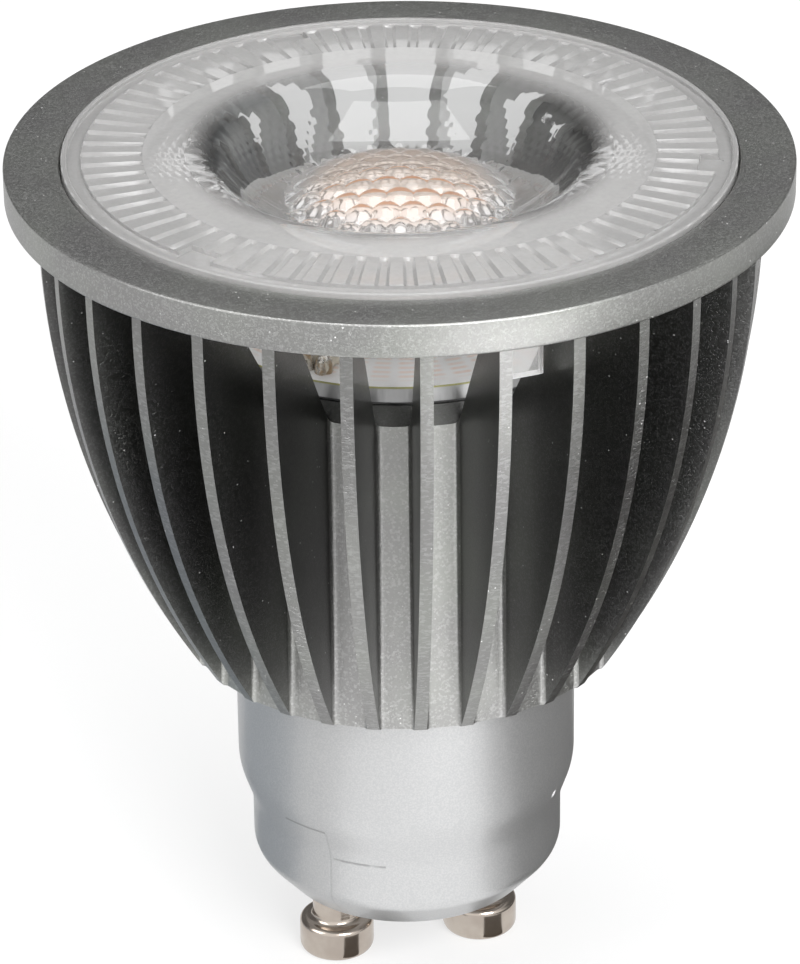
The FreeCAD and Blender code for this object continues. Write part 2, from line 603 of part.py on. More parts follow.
def screws():
    """Three screws through the board into the core, and two from the core into the housing's bosses."""
    group = []
    for number in range(int(size("BoardScrewCount"))):
        turn = f"(BoardScrewPhase + {number} * 360 / BoardScrewCount)"
        x, y = f"BoardScrewCircle * cos{turn}", f"BoardScrewCircle * sin{turn}"
        shank = rod(f"BoardShank{number}", x, y, "CoreTop - BoardScrewBite", "BoardScrewRadius",
                    "BoardTop - CoreTop + BoardScrewBite")
        head = rod(f"BoardHead{number}", x, y, "BoardTop", "BoardScrewHeadRadius", "BoardScrewHeadHeight")
        whole = joined(f"BoardScrew{number}", shank, head)
        arms = recess(f"BoardRecess{number}Arm", x, y, "BoardTop + BoardScrewHeadHeight")
        group.append(less(f"BoardScrewCut{number}Arm", whole, *arms))
    keep(grouped("BoardScrews", group), "board_screws")

    group = []
    for number, way in enumerate(("", "-")):
        shank = rod(f"HousingShank{number}", "0", way + "BossReach", "CoreTop - HousingScrewLength",
                    "HousingScrewRadius", "HousingScrewLength")
        head = doc.addObject("Part::Cone", f"HousingHead{number}")
        bind(head, Radius1="HousingScrewRadius", Radius2="HousingScrewHeadRadius",
             Height="HousingScrewHeadHeight", Placement__Base__y=way + "BossReach",
             Placement__Base__z="CoreTop - HousingScrewHeadHeight")
        whole = joined(f"HousingScrew{number}", shank, head)
        arms = recess(f"HousingRecess{number}Arm", "0", way + "BossReach", "CoreTop")
        group.append(less(f"HousingScrewCut{number}Arm", whole, *arms))
    keep(grouped("HousingScrews", group), "housing_screws")


def grouped(name, solids):
    group = doc.addObject("Part::Compound", name)
    group.Links = solids
    return group


def driver_board():
    """The upright circuit board, with shoulders that stand on the ends of the rail slots."""
    body = new_body("Driver")
    foot, half = "RailInner - FootGap", "DriverWidth / 2"
    outline = Outline(body, "DriverOutline", "XZ_Plane", "-BackFace")
    outline.loop(("FootGap - RailInner", "DriverBottom"), (foot, "DriverBottom"), (foot, "DriverStop"),
                 (half, "DriverStop"), (half, "RailTop"), ("-" + half, "RailTop"),
                 ("-" + half, "DriverStop"), ("FootGap - RailInner", "DriverStop"))
    grown(body, "DriverSheet", outline, "DriverThickness", down=True)
    keep(body, "driver_board")


def transformer():
    """A closed core with a middle limb, and the winding round that limb."""
    y = "FrontFace + CoilBuild"
    window = "(CoilCoreWidth - CoilLimb - 2 * CoilSide) / 2"
    high = "CoilCoreHeight - 2 * CoilYoke"
    frame = box("CoilFrame", "-CoilCoreWidth / 2", y, "CoilBase",
                "CoilCoreWidth", "CoilCoreDepth", "CoilCoreHeight")
    windows = [box(f"CoilWindow{number}", x, y, "CoilBase + CoilYoke", window, "CoilCoreDepth", high)
               for number, x in enumerate(("CoilLimb / 2", f"-CoilLimb / 2 - {window}"))]
    keep(less("CoilCore", frame, *windows), "transformer_core")

    across = f"CoilLimb + 2 * ({window}) - 2 * FitGap"
    winding = box("CoilTurns", f"-({across}) / 2", "FrontFace", "CoilBase + CoilYoke + FitGap",
                  across, "CoilCoreDepth + 2 * CoilBuild", f"{high} - 2 * FitGap")
    limb = box("CoilHole", "-CoilLimb / 2 - FitGap", f"{y} - FitGap", "CoilBase + CoilYoke",
               "CoilLimb + 2 * FitGap", "CoilCoreDepth + 2 * FitGap", high)
    keep(less("CoilWinding", winding, limb), "transformer_winding")


def capacitor(label, name, x, y, base, radius, length):
    """An upright can with a crimp groove near its lower end."""
    body = new_body(name)
    inner = f"{radius} - CrimpInset"
    turned(body, name + "Can",
           ("0", "0"), (inner, "0"), (radius, "CrimpInset"), (radius, "CrimpHeight - CrimpInset"),
           (inner, "CrimpHeight"), (radius, "CrimpHeight + CrimpInset"), (radius, f"{length} - CrimpInset"),
           (inner, length), ("0", length))
    bind(body, Placement__Base__x=x, Placement__Base__y=y, Placement__Base__z=base)
    keep(body, label)


def choke():
    """A drum core with its winding between the flanges."""
    body = new_body("Choke")
    turned(body, "ChokeDrum",
           ("0", "0"), ("ChokeRadius", "0"), ("ChokeRadius", "ChokeFlange"), ("ChokeWaist", "ChokeFlange"),
           ("ChokeWaist", "ChokeLength - ChokeFlange"), ("ChokeRadius", "ChokeLength - ChokeFlange"),
           ("ChokeRadius", "ChokeLength"), ("0", "ChokeLength"))
    bind(body, Placement__Base__x="PartsReach", Placement__Base__y="FrontFace + ChokeRadius + FitGap",
         Placement__Base__z="LowerPartsBase")
    keep(body, "choke")


def chips():
    """The bridge rectifier and the controller on the back of the driver board."""
    bridge = box("Bridge", "-ChipSide", "BackFace - BridgeDepth", "BridgeBase",
                 "BridgeWidth", "BridgeDepth", "BridgeHeight")
    keep(bridge, "bridge_rectifier")
    solids = [box("ChipBody", "-ChipSide", "BackFace - ChipDepth", "ChipBase",
                  "ChipWidth", "ChipDepth", "ChipHeight")]
    for number in range(int(size("ChipLegs"))):
        z = f"ChipBase + ChipHeight * ({2 * number + 1}) / (2 * ChipLegs) - LegSize / 2"
        for side, x in (("Left", "-ChipSide - LegStand"), ("Right", "ChipWidth - ChipSide")):
            solids.append(box(f"Chip{side}{number}", x, "BackFace - LegSize", z,
                              "LegStand", "LegSize", "LegSize"))
    keep(joined("Chip", *solids), "controller_chip")


def fuse_resistor():
    """A barrel on two wire ends that turn in to the driver board."""
    x, y = "PartsReach", "BackFace - FuseStand - FuseRadius"
    solids = [rod("FuseBody", x, y, "LowerPartsBase", "FuseRadius", "FuseLength"),
              rod("FuseTail", x, y, "LowerPartsBase - TailLength", "TailRadius", "FuseLength + 2 * TailLength")]
    for number, z in enumerate(("LowerPartsBase - TailLength", "LowerPartsBase + FuseLength + TailLength")):
        bend = rod(f"FuseBend{number}", x, y, z, "TailRadius", "FuseStand + FuseRadius")
        bend.Placement.Rotation = FreeCAD.Rotation(FreeCAD.Vector(1, 0, 0), -90)
        solids.append(bend)
    keep(joined("Fuse", *solids), "fuse_resistor")


def wire(label, points, bends):
    """A round wire along straight runs that are joined by tangent arcs."""
    edges = []
    start = points[0]
    for before, corner, after, bend in zip(points, points[1:], points[2:], bends):
        back, on = (before - corner).normalize(), (after - corner).normalize()
        turn = math.pi - back.getAngle(on)
        setback = bend * math.tan(turn / 2)
        first, last = corner + back * setback, corner + on * setback
        middle = corner + (back + on).normalize() * (bend / math.cos(turn / 2) - bend)
        edges += [Part.LineSegment(start, first).toShape(), Part.Arc(first, middle, last).toShape()]
        start = last
    edges.append(Part.LineSegment(start, points[-1]).toShape())
    spine = Part.Wire(edges)
    ring = Part.Circle(points[0], points[1] - points[0], size("WireRadius"))
    solid = spine.makePipeShell([Part.Wire([ring.toShape()])], True, False)
    feature = doc.addObject("Part::Feature", "Wire_" + label)
    feature.Shape = solid
    keep(feature, label)
    share = solid.Volume / (math.pi * size("WireRadius") ** 2 * spine.Length)
    print(f"{label}: {spine.Length:.1f} mm long, volume {share:.4f} of section times length")


def wires():
    """Mains wires from the pins to the driver board, and leads from it to the light source."""
    vector = FreeCAD.Vector
    for label, side in (("live_wire", -1), ("neutral_wire", 1)):
        x = side * size("PinPitch / 2")
        corner = vector(x, 0, size("WireTop"))
        wire(label, [vector(x, 0, size("BaseFace + FitGap")), corner, vector(x, size("FrontFace"), corner.z)],
             [size("WireBend")])

    angle = math.radians(size("LeadAngle"))
    outward = vector(math.cos(angle), math.sin(angle), 0)
    along = vector(-math.sin(angle), math.cos(angle), 0)
    up = vector(0, 0, 1)
    for label, side in (("led_wire_positive", 1), ("led_wire_negative", -1)):
        aside = along * (side * size("LeadSpread / 2"))
        foot = (-size("DriverOffset") - aside.y) / outward.y
        low, high = size("RailTop"), size("BoardTop + WireRadius")
        bend = size("WireBend")
        passing = size("LeadReach")
        stops = ((foot, low), (foot, low + size("LeadRise")), (passing, size("PlateBottom") - size("WireBend")),
                 (passing, high), (size("LeadEnd"), high))
        wire(label, [outward * reach + aside + up * height for reach, height in stops],
             [bend * 2, bend * 2, bend])


def check_and_write():
    """Every object has to be sound before anything is written."""
    doc.recompute()
    for thing in doc.Objects:
        if {"Invalid", "Error"} & set(thing.State):
            raise RuntimeError(f"{thing.Name}: {thing.State}")
    for piece in pieces:
        if piece.Shape.isNull() or not piece.Shape.isValid():
            raise RuntimeError(piece.Label + " has no sound shape")
    os.makedirs("parts", exist_ok=True)
    for piece in pieces:
        piece.Shape.exportStep(f"parts/{piece.Label}.step")
        extent = piece.Shape.BoundBox
        print(f"{piece.Label}: {len(piece.Shape.Solids)} solid(s), {piece.Shape.Volume:.1f} mm3,"
              f" z {extent.ZMin:.2f} to {extent.ZMax:.2f}")


fill_sheet()
base_housing()
contact_pin("Left", "-PinPitch / 2")
contact_pin("Right", "PinPitch / 2")
heat_sink()
light_source()
screws()
lens()
driver_board()
transformer()
capacitor("input_capacitor", "InputCan", "-PartsReach", "FrontFace + InputCanRadius + FitGap",
          "LowerPartsBase", "InputCanRadius", "InputCanLength")
capacitor("output_capacitor", "OutputCan", "PartsReach", "BackFace - OutputCanRadius - FitGap",
          "OutputCanBase", "OutputCanRadius", "OutputCanLength")
choke()
chips()
fuse_resistor()
wires()
check_and_write()
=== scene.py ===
# %% [markdown]
# # A spotlight bulb with a finned heat sink
# The lamp is about as tall as a thumb: two contact pins, a silver plastic base, an aluminium heat sink
# turned to a curved outline and slotted into thin fins, and a clear lens in its rim. The construction
# model gives every piece its place. This script builds the surfaces that show and gives each a finish.

# %% Load the construction model
import math

import bmesh
import bpy
import numpy as np
from mathutils import Matrix, Vector


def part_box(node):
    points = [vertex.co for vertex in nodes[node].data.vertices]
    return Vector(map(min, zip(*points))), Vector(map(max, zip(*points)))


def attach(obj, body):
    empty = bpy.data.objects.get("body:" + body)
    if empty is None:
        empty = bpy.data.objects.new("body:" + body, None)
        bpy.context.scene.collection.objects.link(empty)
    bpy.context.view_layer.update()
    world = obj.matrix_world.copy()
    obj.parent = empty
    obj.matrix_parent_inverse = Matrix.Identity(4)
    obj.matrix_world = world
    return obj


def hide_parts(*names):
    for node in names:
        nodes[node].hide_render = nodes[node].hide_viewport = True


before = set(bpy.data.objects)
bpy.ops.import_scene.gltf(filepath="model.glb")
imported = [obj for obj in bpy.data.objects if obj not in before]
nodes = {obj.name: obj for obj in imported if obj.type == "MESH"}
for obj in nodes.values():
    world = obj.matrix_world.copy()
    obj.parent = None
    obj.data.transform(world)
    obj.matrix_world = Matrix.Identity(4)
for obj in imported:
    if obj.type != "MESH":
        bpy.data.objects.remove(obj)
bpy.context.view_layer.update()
scene = bpy.context.scene
scene.view_settings.view_transform = "Standard"
MM = 0.001


def extent(node):
    """A construction node's lowest point, highest point and reach along X, in millimetres."""
    low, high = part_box(node)
    return tuple(round(value / MM, 3) for value in (low[2], high[2], high[0]))


# %% [markdown]
# ## Camera
# The picture was taken from a little above with a long lens, so the rim is a flat ellipse and the fins
# hardly converge. The camera's place was found by fitting the rim's and the pins' outlines. It is given
# by its distance from the lamp's axis, its height, its turn about that axis, its dip and a slight roll.

# %% Place the camera
FRAME_HEIGHT = 964
CAMERA_OUT, CAMERA_UP, CAMERA_ASIDE = 304.28, 194.05, -0.213
CAMERA_TURN = math.radians(-13.961)
CAMERA_DIP = math.radians(27.639)
CAMERA_ROLL = math.radians(-0.685)
FOCAL_PIXELS = 5273.1
SENSOR = 36.0
CLIP_START = 0.01

facing = Matrix.Rotation(CAMERA_TURN, 3, "Z")
right = facing @ Vector((1, 0, 0))
ahead = facing @ Vector((0, math.cos(CAMERA_DIP), -math.sin(CAMERA_DIP)))
up = right.cross(ahead)
rolled_right = math.cos(CAMERA_ROLL) * right + math.sin(CAMERA_ROLL) * up
rolled_up = math.cos(CAMERA_ROLL) * up - math.sin(CAMERA_ROLL) * right
eye = facing @ Vector((0, -CAMERA_OUT, CAMERA_UP)) + CAMERA_ASIDE * rolled_right

camera = bpy.data.objects.new("camera", bpy.data.cameras.new("camera"))
scene.collection.objects.link(camera)
camera.matrix_world = Matrix.Translation(eye * MM) @ Matrix(
    (rolled_right, rolled_up, -ahead)).transposed().to_4x4()
camera.data.sensor_fit = "VERTICAL"
camera.data.sensor_height = SENSOR
camera.data.lens = FOCAL_PIXELS / FRAME_HEIGHT * SENSOR
camera.data.clip_start = CLIP_START
scene.camera = camera
print("camera at", [round(value, 1) for value in eye], "mm, lens", round(camera.data.lens, 1), "mm")

# %% [markdown]
# ## Shader sums in Python
# A finish is a graph of nodes. Sums such as the distance from the lamp's axis need many Math nodes, so a
# small class wraps a socket and turns Python's operators into those nodes, also in their reflected form,
# as in 1 - mask. All other nodes come from one method, which sets a node's own settings first and then
# the values or links of its sockets.

# %% Sockets in sums
def both_ways(operation):
    """An operator's method and its reflected form, each of which adds a Math node."""
    def plain(self, other):
        return self.graph.math(operation, self, other)

    def reflected(self, other):
        return self.graph.math(operation, other, self)

    return plain, reflected


class Value:
    """A socket that can stand in a Python expression."""

    __add__, __radd__ = both_ways("ADD")
    __sub__, __rsub__ = both_ways("SUBTRACT")
    __mul__, __rmul__ = both_ways("MULTIPLY")
    __truediv__, __rtruediv__ = both_ways("DIVIDE")
    __pow__, __rpow__ = both_ways("POWER")

    def __init__(self, graph, socket):
        self.graph = graph
        self.socket = socket

    def __gt__(self, other):
        return self.graph.math("GREATER_THAN", self, other)

    def __lt__(self, other):
        return self.graph.math("LESS_THAN", self, other)

    def __abs__(self):
        return self.graph.math("ABSOLUTE", self)

    def step(self, low, high):
        """0 below low, 1 above high and a smooth rise between."""
        return self.graph.add("MapRange", {"interpolation_type": "SMOOTHSTEP"},
                              {"Value": self, "From Min": low, "From Max": high})


print("sums ready")

# %% Node trees
MIX_FACTOR, MIX_FIRST, MIX_SECOND, MIX_RESULT = 0, 6, 7, 2


class Graph:
    """A node tree whose nodes come from expressions."""

    def __init__(self, tree):
        self.tree = tree
        tree.nodes.clear()

    def add(self, kind, settings=None, inputs=None, output=0):
        """A new node: its settings are set first, then the values or links of its sockets."""
        node = self.tree.nodes.new("ShaderNode" + kind)
        for name, value in (settings or {}).items():
            setattr(node, name, value)
        for name, value in (inputs or {}).items():
            if isinstance(value, Value):
                self.tree.links.new(value.socket, node.inputs[name])
            else:
                node.inputs[name].default_value = value
        return Value(self, node.outputs[output]) if node.outputs else node

    def math(self, operation, *terms):
        """A Math node on values and numbers."""
        return self.add("Math", {"operation": operation}, dict(enumerate(terms)))

    def also(self, value, output):
        """Another output of the node that a value comes from."""
        return Value(self, value.socket.node.outputs[output])

    def blend(self, factor, first, second):
        """A colour between two others."""
        colours = {MIX_FACTOR: factor, MIX_FIRST: first, MIX_SECOND: second}
        return self.add("Mix", {"data_type": "RGBA"}, colours, MIX_RESULT)

    def rays(self):
        """Masks of rays from the camera, those off or through a surface, and those through one."""
        direct = self.add("LightPath", output="Is Camera Ray")
        through = self.also(direct, "Is Transmission Ray")
        return direct, (self.also(direct, "Is Glossy Ray") + through) > 0.5, through


print("node trees ready")

# %% Finishes in millimetres
DOT_CORE, DOT_EDGE = 0.1, 0.32


class Finish(Graph):
    """A material with the object's own coordinates, in millimetres, at hand."""

    def __init__(self, name):
        self.material = bpy.data.materials.new(name)
        self.material.use_nodes = True
        super().__init__(self.material.node_tree)
        metres = self.add("TexCoord", output="Object")
        self.place = self.add("VectorMath", {"operation": "SCALE"}, {0: metres, "Scale": 1 / MM})
        self.x = self.add("SeparateXYZ", None, {0: self.place})
        self.y = self.also(self.x, "Y")
        self.z = self.also(self.x, "Z")

    def polar(self):
        """Distance from the lamp's axis in millimetres, and the turn about it in radians."""
        return (self.x * self.x + self.y * self.y) ** 0.5, self.math("ARCTAN2", self.y, self.x)

    def stretched(self, stretch):
        return self.add("VectorMath", {"operation": "MULTIPLY"}, {0: self.place, 1: stretch})

    def noise(self, per_mm, detail=2.0, stretch=(1, 1, 1)):
        return self.add("TexNoise", None,
                        {"Vector": self.stretched(stretch), "Scale": per_mm, "Detail": detail})

    def cells(self, per_mm, stretch=(1, 1, 1)):
        """Small cells: the distance from a cell's middle, and a chance value for each cell."""
        near = self.add("TexVoronoi", None, {"Vector": self.stretched(stretch), "Scale": per_mm})
        return near, self.add("SeparateColor", None, {0: self.also(near, "Color")})

    def specks(self, per_mm, share):
        """Scattered dots: 1 in a share of small cells, 0 elsewhere."""
        near, chance = self.cells(per_mm)
        return (chance < share) * (1 - near.step(DOT_CORE, DOT_EDGE))

    def bump(self, height, depth_mm, strength=1.0):
        return self.add("Bump", None, {"Height": height, "Distance": depth_mm * MM, "Strength": strength})

    def principled(self, **sockets):
        """The main surface shader; names such as Base_Color stand for its sockets."""
        return self.add("BsdfPrincipled", None,
                        {name.replace("_", " "): value for name, value in sockets.items()})

    def layered(self, share, lower, upper):
        """Two shaders mixed: the lower one where share is 0, the upper one where it is 1."""
        return self.add("MixShader", None, {0: share, 1: lower, 2: upper})

    def surface(self, shader):
        """The material, with this shader on its surface."""
        self.add("OutputMaterial", None, {"Surface": shader})
        return self.material

    def shade(self, **sockets):
        """The material, with only the main surface shader."""
        return self.surface(self.principled(**sockets))


def grey(level, warmth=0.0):
    """A grey, warm above 0 and cool below."""
    return (level * (1 + warmth), level, level * (1 - warmth), 1.0)


print("finishes ready")

# %% [markdown]
# ## Floor
# The lamp stands on a plain white floor, as for a catalogue. A floor could be lit until it turns white,
# but that much light would bleach the lamp. So it glows for the camera and in reflections, and the rest
# of its light is what falls on it, with the lamp's soft shadow. Far off it is fully white, so no horizon
# shows in low views.

# %% Floor
FLOOR_SIZE, PAPER_TONE = 6.0, 0.9
FLOOR_GLOW, MIRRORED_GLOW, MIRRORED_LEVEL, THROUGH_LOSS = 0.62, 0.92, 0.8, 0.22
WHITE_FROM, WHITE_TO = 200, 900


def stage_sheet(name, corners, finish):
    """A flat sheet that belongs to the stage and not to the lamp."""
    mesh = bpy.data.meshes.new(name)
    mesh.from_pydata(corners, [], [tuple(range(len(corners)))])
    mesh.materials.append(finish)
    sheet = bpy.data.objects.new(name, mesh)
    scene.collection.objects.link(sheet)
    return sheet


paper = Finish("floor_paper")
direct, mirrored, through = paper.rays()
away, _ = paper.polar()
fade = FLOOR_GLOW + away.step(WHITE_FROM, WHITE_TO) * (1 - FLOOR_GLOW)
share = direct * fade + (1 - direct) * mirrored * MIRRORED_GLOW
level = MIRRORED_LEVEL + direct * (1 - MIRRORED_LEVEL) - through * THROUGH_LOSS
matt = paper.add("BsdfDiffuse", None, {"Color": grey(PAPER_TONE)})
glow = paper.add("Emission", None, {"Color": grey(1.0), "Strength": level})
half = FLOOR_SIZE / 2
stage_sheet("floor", [(-half, -half, 0), (half, -half, 0), (half, half, 0), (-half, half, 0)],
            paper.surface(paper.layered(share, matt, glow)))
print("floor", FLOOR_SIZE, "m wide, glow", FLOOR_GLOW)

# %% [markdown]
# ## Room and lamps
# Metal shows what stands round it. The room is brightest in front and overhead and dim behind, and three
# soft lamps add direction. The lens would show each lamp as a glare in its facets, so rays through it miss
# the lamps and see an even room. Upright faces reflect the floor in front of them, so lit oval panels
# lie there, each at the distance that the rim's wall, the fins or the base reflects.

# %% Room
ROOM_FILL, ROOM_DIM, ROOM_THROUGH = 0.55, 0.15, 1.2
FRONT_FROM, FRONT_TO = -0.3, 0.8
OVERHEAD_FROM, OVERHEAD_TO = 0.62, 0.95

world = bpy.data.worlds.new("room")
scene.world = world
world.use_nodes = True
room = Graph(world.node_tree)
way = room.add("SeparateXYZ", None, {0: room.add("TexCoord", output="Generated")})
toward = way * math.sin(CAMERA_TURN) - room.also(way, "Y") * math.cos(CAMERA_TURN)
front = toward.step(FRONT_FROM, FRONT_TO)
overhead = room.also(way, "Z").step(OVERHEAD_FROM, OVERHEAD_TO)
bright = front + overhead - front * overhead
level = ROOM_DIM + bright * (1 - ROOM_DIM)
direct, mirrored, through = room.rays()
reflected_level = level + through * (ROOM_THROUGH - level)
strength = direct + (1 - direct) * (mirrored * reflected_level + (1 - mirrored) * ROOM_FILL)
backdrop = room.add("Background", None, {"Color": grey(1.0), "Strength": strength})
room.add("OutputWorld", None, {"Surface": backdrop})
print("room from", ROOM_DIM, "behind to 1 in front")

# %% Lamps
AIM_HEIGHT = 40


def area_lamp(name, shape, width, length, power):
    """A soft lamp, in metres and watts, that rays through the lens miss."""
    data = bpy.data.lights.new(name, "AREA")
    data.shape, data.size, data.size_y, data.energy = shape, width, length, power
    lamp = bpy.data.objects.new(name, data)
    lamp.visible_transmission = False
    scene.collection.objects.link(lamp)
    return lamp


def bearing(turn_deg):
    """A level direction away from the lamp's axis, turned to the right of the camera."""
    angle = CAMERA_TURN + math.radians(turn_deg)
    return Vector((math.sin(angle), -math.cos(angle), 0))


def soft_lamp(name, turn_deg, rise_deg, distance, size, power):
    """A square soft lamp that looks at the heat sink."""
    rise = math.radians(rise_deg)
    direction = bearing(turn_deg) * math.cos(rise) + Vector((0, 0, math.sin(rise)))
    lamp = area_lamp(name, "SQUARE", size, size, power)
    lamp.location = Vector((0, 0, AIM_HEIGHT * MM)) + direction * distance
    lamp.rotation_euler = (-direction).to_track_quat("-Z", "Y").to_euler()


soft_lamp("key_lamp", turn_deg=25, rise_deg=30, distance=0.9, size=0.45, power=8.0)
soft_lamp("side_lamp", turn_deg=-65, rise_deg=30, distance=1.0, size=0.6, power=3.0)
soft_lamp("top_lamp", turn_deg=180, rise_deg=86, distance=1.0, size=0.7, power=5.0)
print("three soft lamps")

# %% Floor panels
PANEL_LIFT = 2


def floor_panel(name, turn_deg, distance, width, length, power):
    """A lit oval panel on the floor that shines upwards."""
    panel = area_lamp(name, "ELLIPSE", width, length, power)
    panel.location = bearing(turn_deg) * distance + Vector((0, 0, PANEL_LIFT * MM))
    panel.rotation_euler = (math.pi, 0, CAMERA_TURN + math.radians(turn_deg))


floor_panel("far_panel", turn_deg=28, distance=0.140, width=0.11, length=0.05, power=0.074)
floor_panel("middle_panel", turn_deg=26, distance=0.092, width=0.07, length=0.050, power=0.0082)
floor_panel("near_panel", turn_deg=12, distance=0.039, width=0.068, length=0.060, power=0.0048)
print("three floor panels")

# %% [markdown]
# ## Cards on the floor
# Bright metal on a white floor looks flat unless something dark stands by, so a photographer lays cards
# beside the object. These are seen only in reflections: one on each side gives the base its darker
# flanks, and two small ones shade the heads of the pins.

# %% Cards
CARD_LIFT, FELT_ROUGHNESS = 0.2, 0.9


def floor_card(name, colour, outline):
    """A card that only reflections see; corners are (to the right, towards the camera) in mm."""
    corners = [facing @ Vector((aside, -near, CARD_LIFT)) * MM for aside, near in outline]
    felt = Finish(name + "_felt").shade(Base_Color=colour, Roughness=FELT_ROUGHNESS)
    card = stage_sheet(name, corners, felt)
    for kind in ("camera", "shadow", "diffuse", "transmission"):
        setattr(card, "visible_" + kind, False)


floor_card("right_card", grey(0.05, 0.06), [(11.5, 10.2), (100, 92), (110, -110), (11.5, -20)])
floor_card("left_pin_card", grey(0.07, 0.15), [(-4.4, 3.75), (-2.3, 8.2), (1.2, 4.8), (-3.3, 3.2)])
floor_card("right_pin_card", grey(0.07, 0.15), [(5.1, 1.35), (6.3, 5.9), (11, 2.5), (6.5, 0.7)])
floor_card("left_card", grey(0.28, -0.10), [(-15, 5), (-15, -10), (-75, -65), (-75, 24)])
print("four floor cards")

# %% [markdown]
# ## Outlines and the lathe
# Nearly every piece was turned or moulded round the lamp's axis, so the main tool is a lathe: an outline
# of radius and height, turned in small steps. Corners are rounded a little, because real edges are never
# sharp and a rounded edge catches a line of light. Each stretch of an outline carries a zone number, which
# later picks its finish.

# %% Arcs and caps
def arc_to(start, end, radius, side, steps):
    """Points of an arc from start to end, without the end; side +1 keeps the centre on the left."""
    start, end = Vector(start), Vector(end)
    chord = end - start
    middle = (start + end) / 2
    normal = Vector((-chord.y, chord.x)).normalized() * side
    centre = middle + normal * math.sqrt(max(radius ** 2 - (chord.length / 2) ** 2, 0.0))
    first = math.atan2(start.y - centre.y, start.x - centre.x)
    sweep = math.atan2(end.y - centre.y, end.x - centre.x) - first
    sweep = (sweep + math.pi) % (2 * math.pi) - math.pi
    return [(centre.x + radius * math.cos(first + sweep * k / steps),
             centre.y + radius * math.sin(first + sweep * k / steps)) for k in range(steps)]


def cap_sphere(radius, rise):
    """Radius of the sphere that a round cap of this radius and rise is cut from."""
    return (radius ** 2 + rise ** 2) / (2 * rise)


print("arcs and caps ready")

# %% Rounded corners
EDGE_SHARE = 0.49


def bend(start, corner, end, t):
    """A point on the curve that rounds a corner, with t from 0 at its start to 1 at its end."""
    return start * (1 - t) ** 2 + corner * 2 * t * (1 - t) + end * t ** 2


def softened(corners, steps=4):
    """A closed outline from corners (radius, height, rounding, zone); gives points and zones of edges."""
    points, zones = [], []
    for index, (r, z, rounding, zone) in enumerate(corners):
        spot = Vector((r, z))
        if not rounding:
            points.append((r, z))
            zones.append(zone)
            continue
        before = Vector(corners[index - 1][:2]) - spot
        after = Vector(corners[(index + 1) % len(corners)][:2]) - spot
        reach = rounding / math.tan(before.angle(after) / 2)
        reach = min(reach, before.length * EDGE_SHARE, after.length * EDGE_SHARE)
        start, end = spot + before.normalized() * reach, spot + after.normalized() * reach
        for k in range(steps + 1):
            points.append(tuple(bend(start, spot, end, k / steps)))
            zones.append(zone if 2 * k >= steps else corners[index - 1][3])
    return points, zones


print("a rounding takes up to", EDGE_SHARE, "of an edge")

# %% Lathe
ON_AXIS = 1e-6


def lathe(points, zones, steps, relief=None, start_deg=0.0):
    """Vertices, faces and zones of a closed outline turned about Z, in millimetres."""
    verts, rings, faces, marks = [], [], [], []
    angles = math.radians(start_deg) + np.arange(steps) * 2 * math.pi / steps
    for index, (r, z) in enumerate(points):
        if r < ON_AXIS:
            rings.append([len(verts)] * steps)
            verts.append((0.0, 0.0, z))
            continue
        dr, dz = relief(index, r, z, angles) if relief else (0.0, 0.0)
        radii, heights = r + dr + 0 * angles, z + dz + 0 * angles
        rings.append(list(range(len(verts), len(verts) + steps)))
        verts.extend(zip(radii * np.cos(angles), radii * np.sin(angles), heights))
    for index, ring in enumerate(rings):
        other = rings[(index + 1) % len(rings)]
        if ring[0] == ring[1] and other[0] == other[1]:
            continue
        for k in range(steps):
            n = (k + 1) % steps
            faces.append(tuple(dict.fromkeys((ring[k], ring[n], other[n], other[k]))))
            marks.append(zones[index])
    return verts, faces, marks


print("lathe ready")

# %% [markdown]
# ## Solids and cuts
# A lathe gives lists of points and faces. One helper makes an object of them and keeps only edges above
# an angle sharp, so turned walls shade smoothly. Slots, legs and recesses are upright prisms that a
# boolean cuts or joins. Each piece is then tied to the lamp's body, and the construction node that it
# stands for is hidden.

# %% Solids
SHARP_DEG = 32


def solid(name, verts, faces, marks, finishes, sharp_deg=SHARP_DEG):
    """An object from a closed mesh in millimetres, smooth up to an angle between faces."""
    mesh = bpy.data.meshes.new(name)
    mesh.from_pydata([(x * MM, y * MM, z * MM) for x, y, z in verts], [], faces)
    for finish in finishes:
        mesh.materials.append(finish)
    mesh.polygons.foreach_set("material_index", marks)
    shaped = bmesh.new()
    shaped.from_mesh(mesh)
    bmesh.ops.recalc_face_normals(shaped, faces=shaped.faces)
    shaped.to_mesh(mesh)
    shaped.free()
    mesh.shade_smooth()
    mesh.set_sharp_from_angle(angle=math.radians(sharp_deg))
    made = bpy.data.objects.new(name, mesh)
    scene.collection.objects.link(made)
    return made


def settle(piece, slot, *replaced):
    """The piece rides on the lamp and stands for construction nodes, which it hides; slot is not used."""
    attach(piece, "root")
    if replaced:
        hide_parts(*replaced)
    print(piece.name, len(piece.data.polygons), "faces")


print("edges over", SHARP_DEG, "degrees stay sharp")

# %% Booleans and prisms
def carve(target, tool, operation="DIFFERENCE", sharp_deg=SHARP_DEG):
    """A boolean of the target with the tool, which is used up."""
    change = target.modifiers.new("carve", "BOOLEAN")
    change.operation, change.object, change.solver = operation, tool, "MANIFOLD"
    shaped = bpy.data.meshes.new_from_object(target.evaluated_get(bpy.context.evaluated_depsgraph_get()))
    target.modifiers.clear()
    target.data = shaped
    bpy.data.objects.remove(tool)
    shaped.shade_smooth()
    shaped.set_sharp_from_angle(angle=math.radians(sharp_deg))


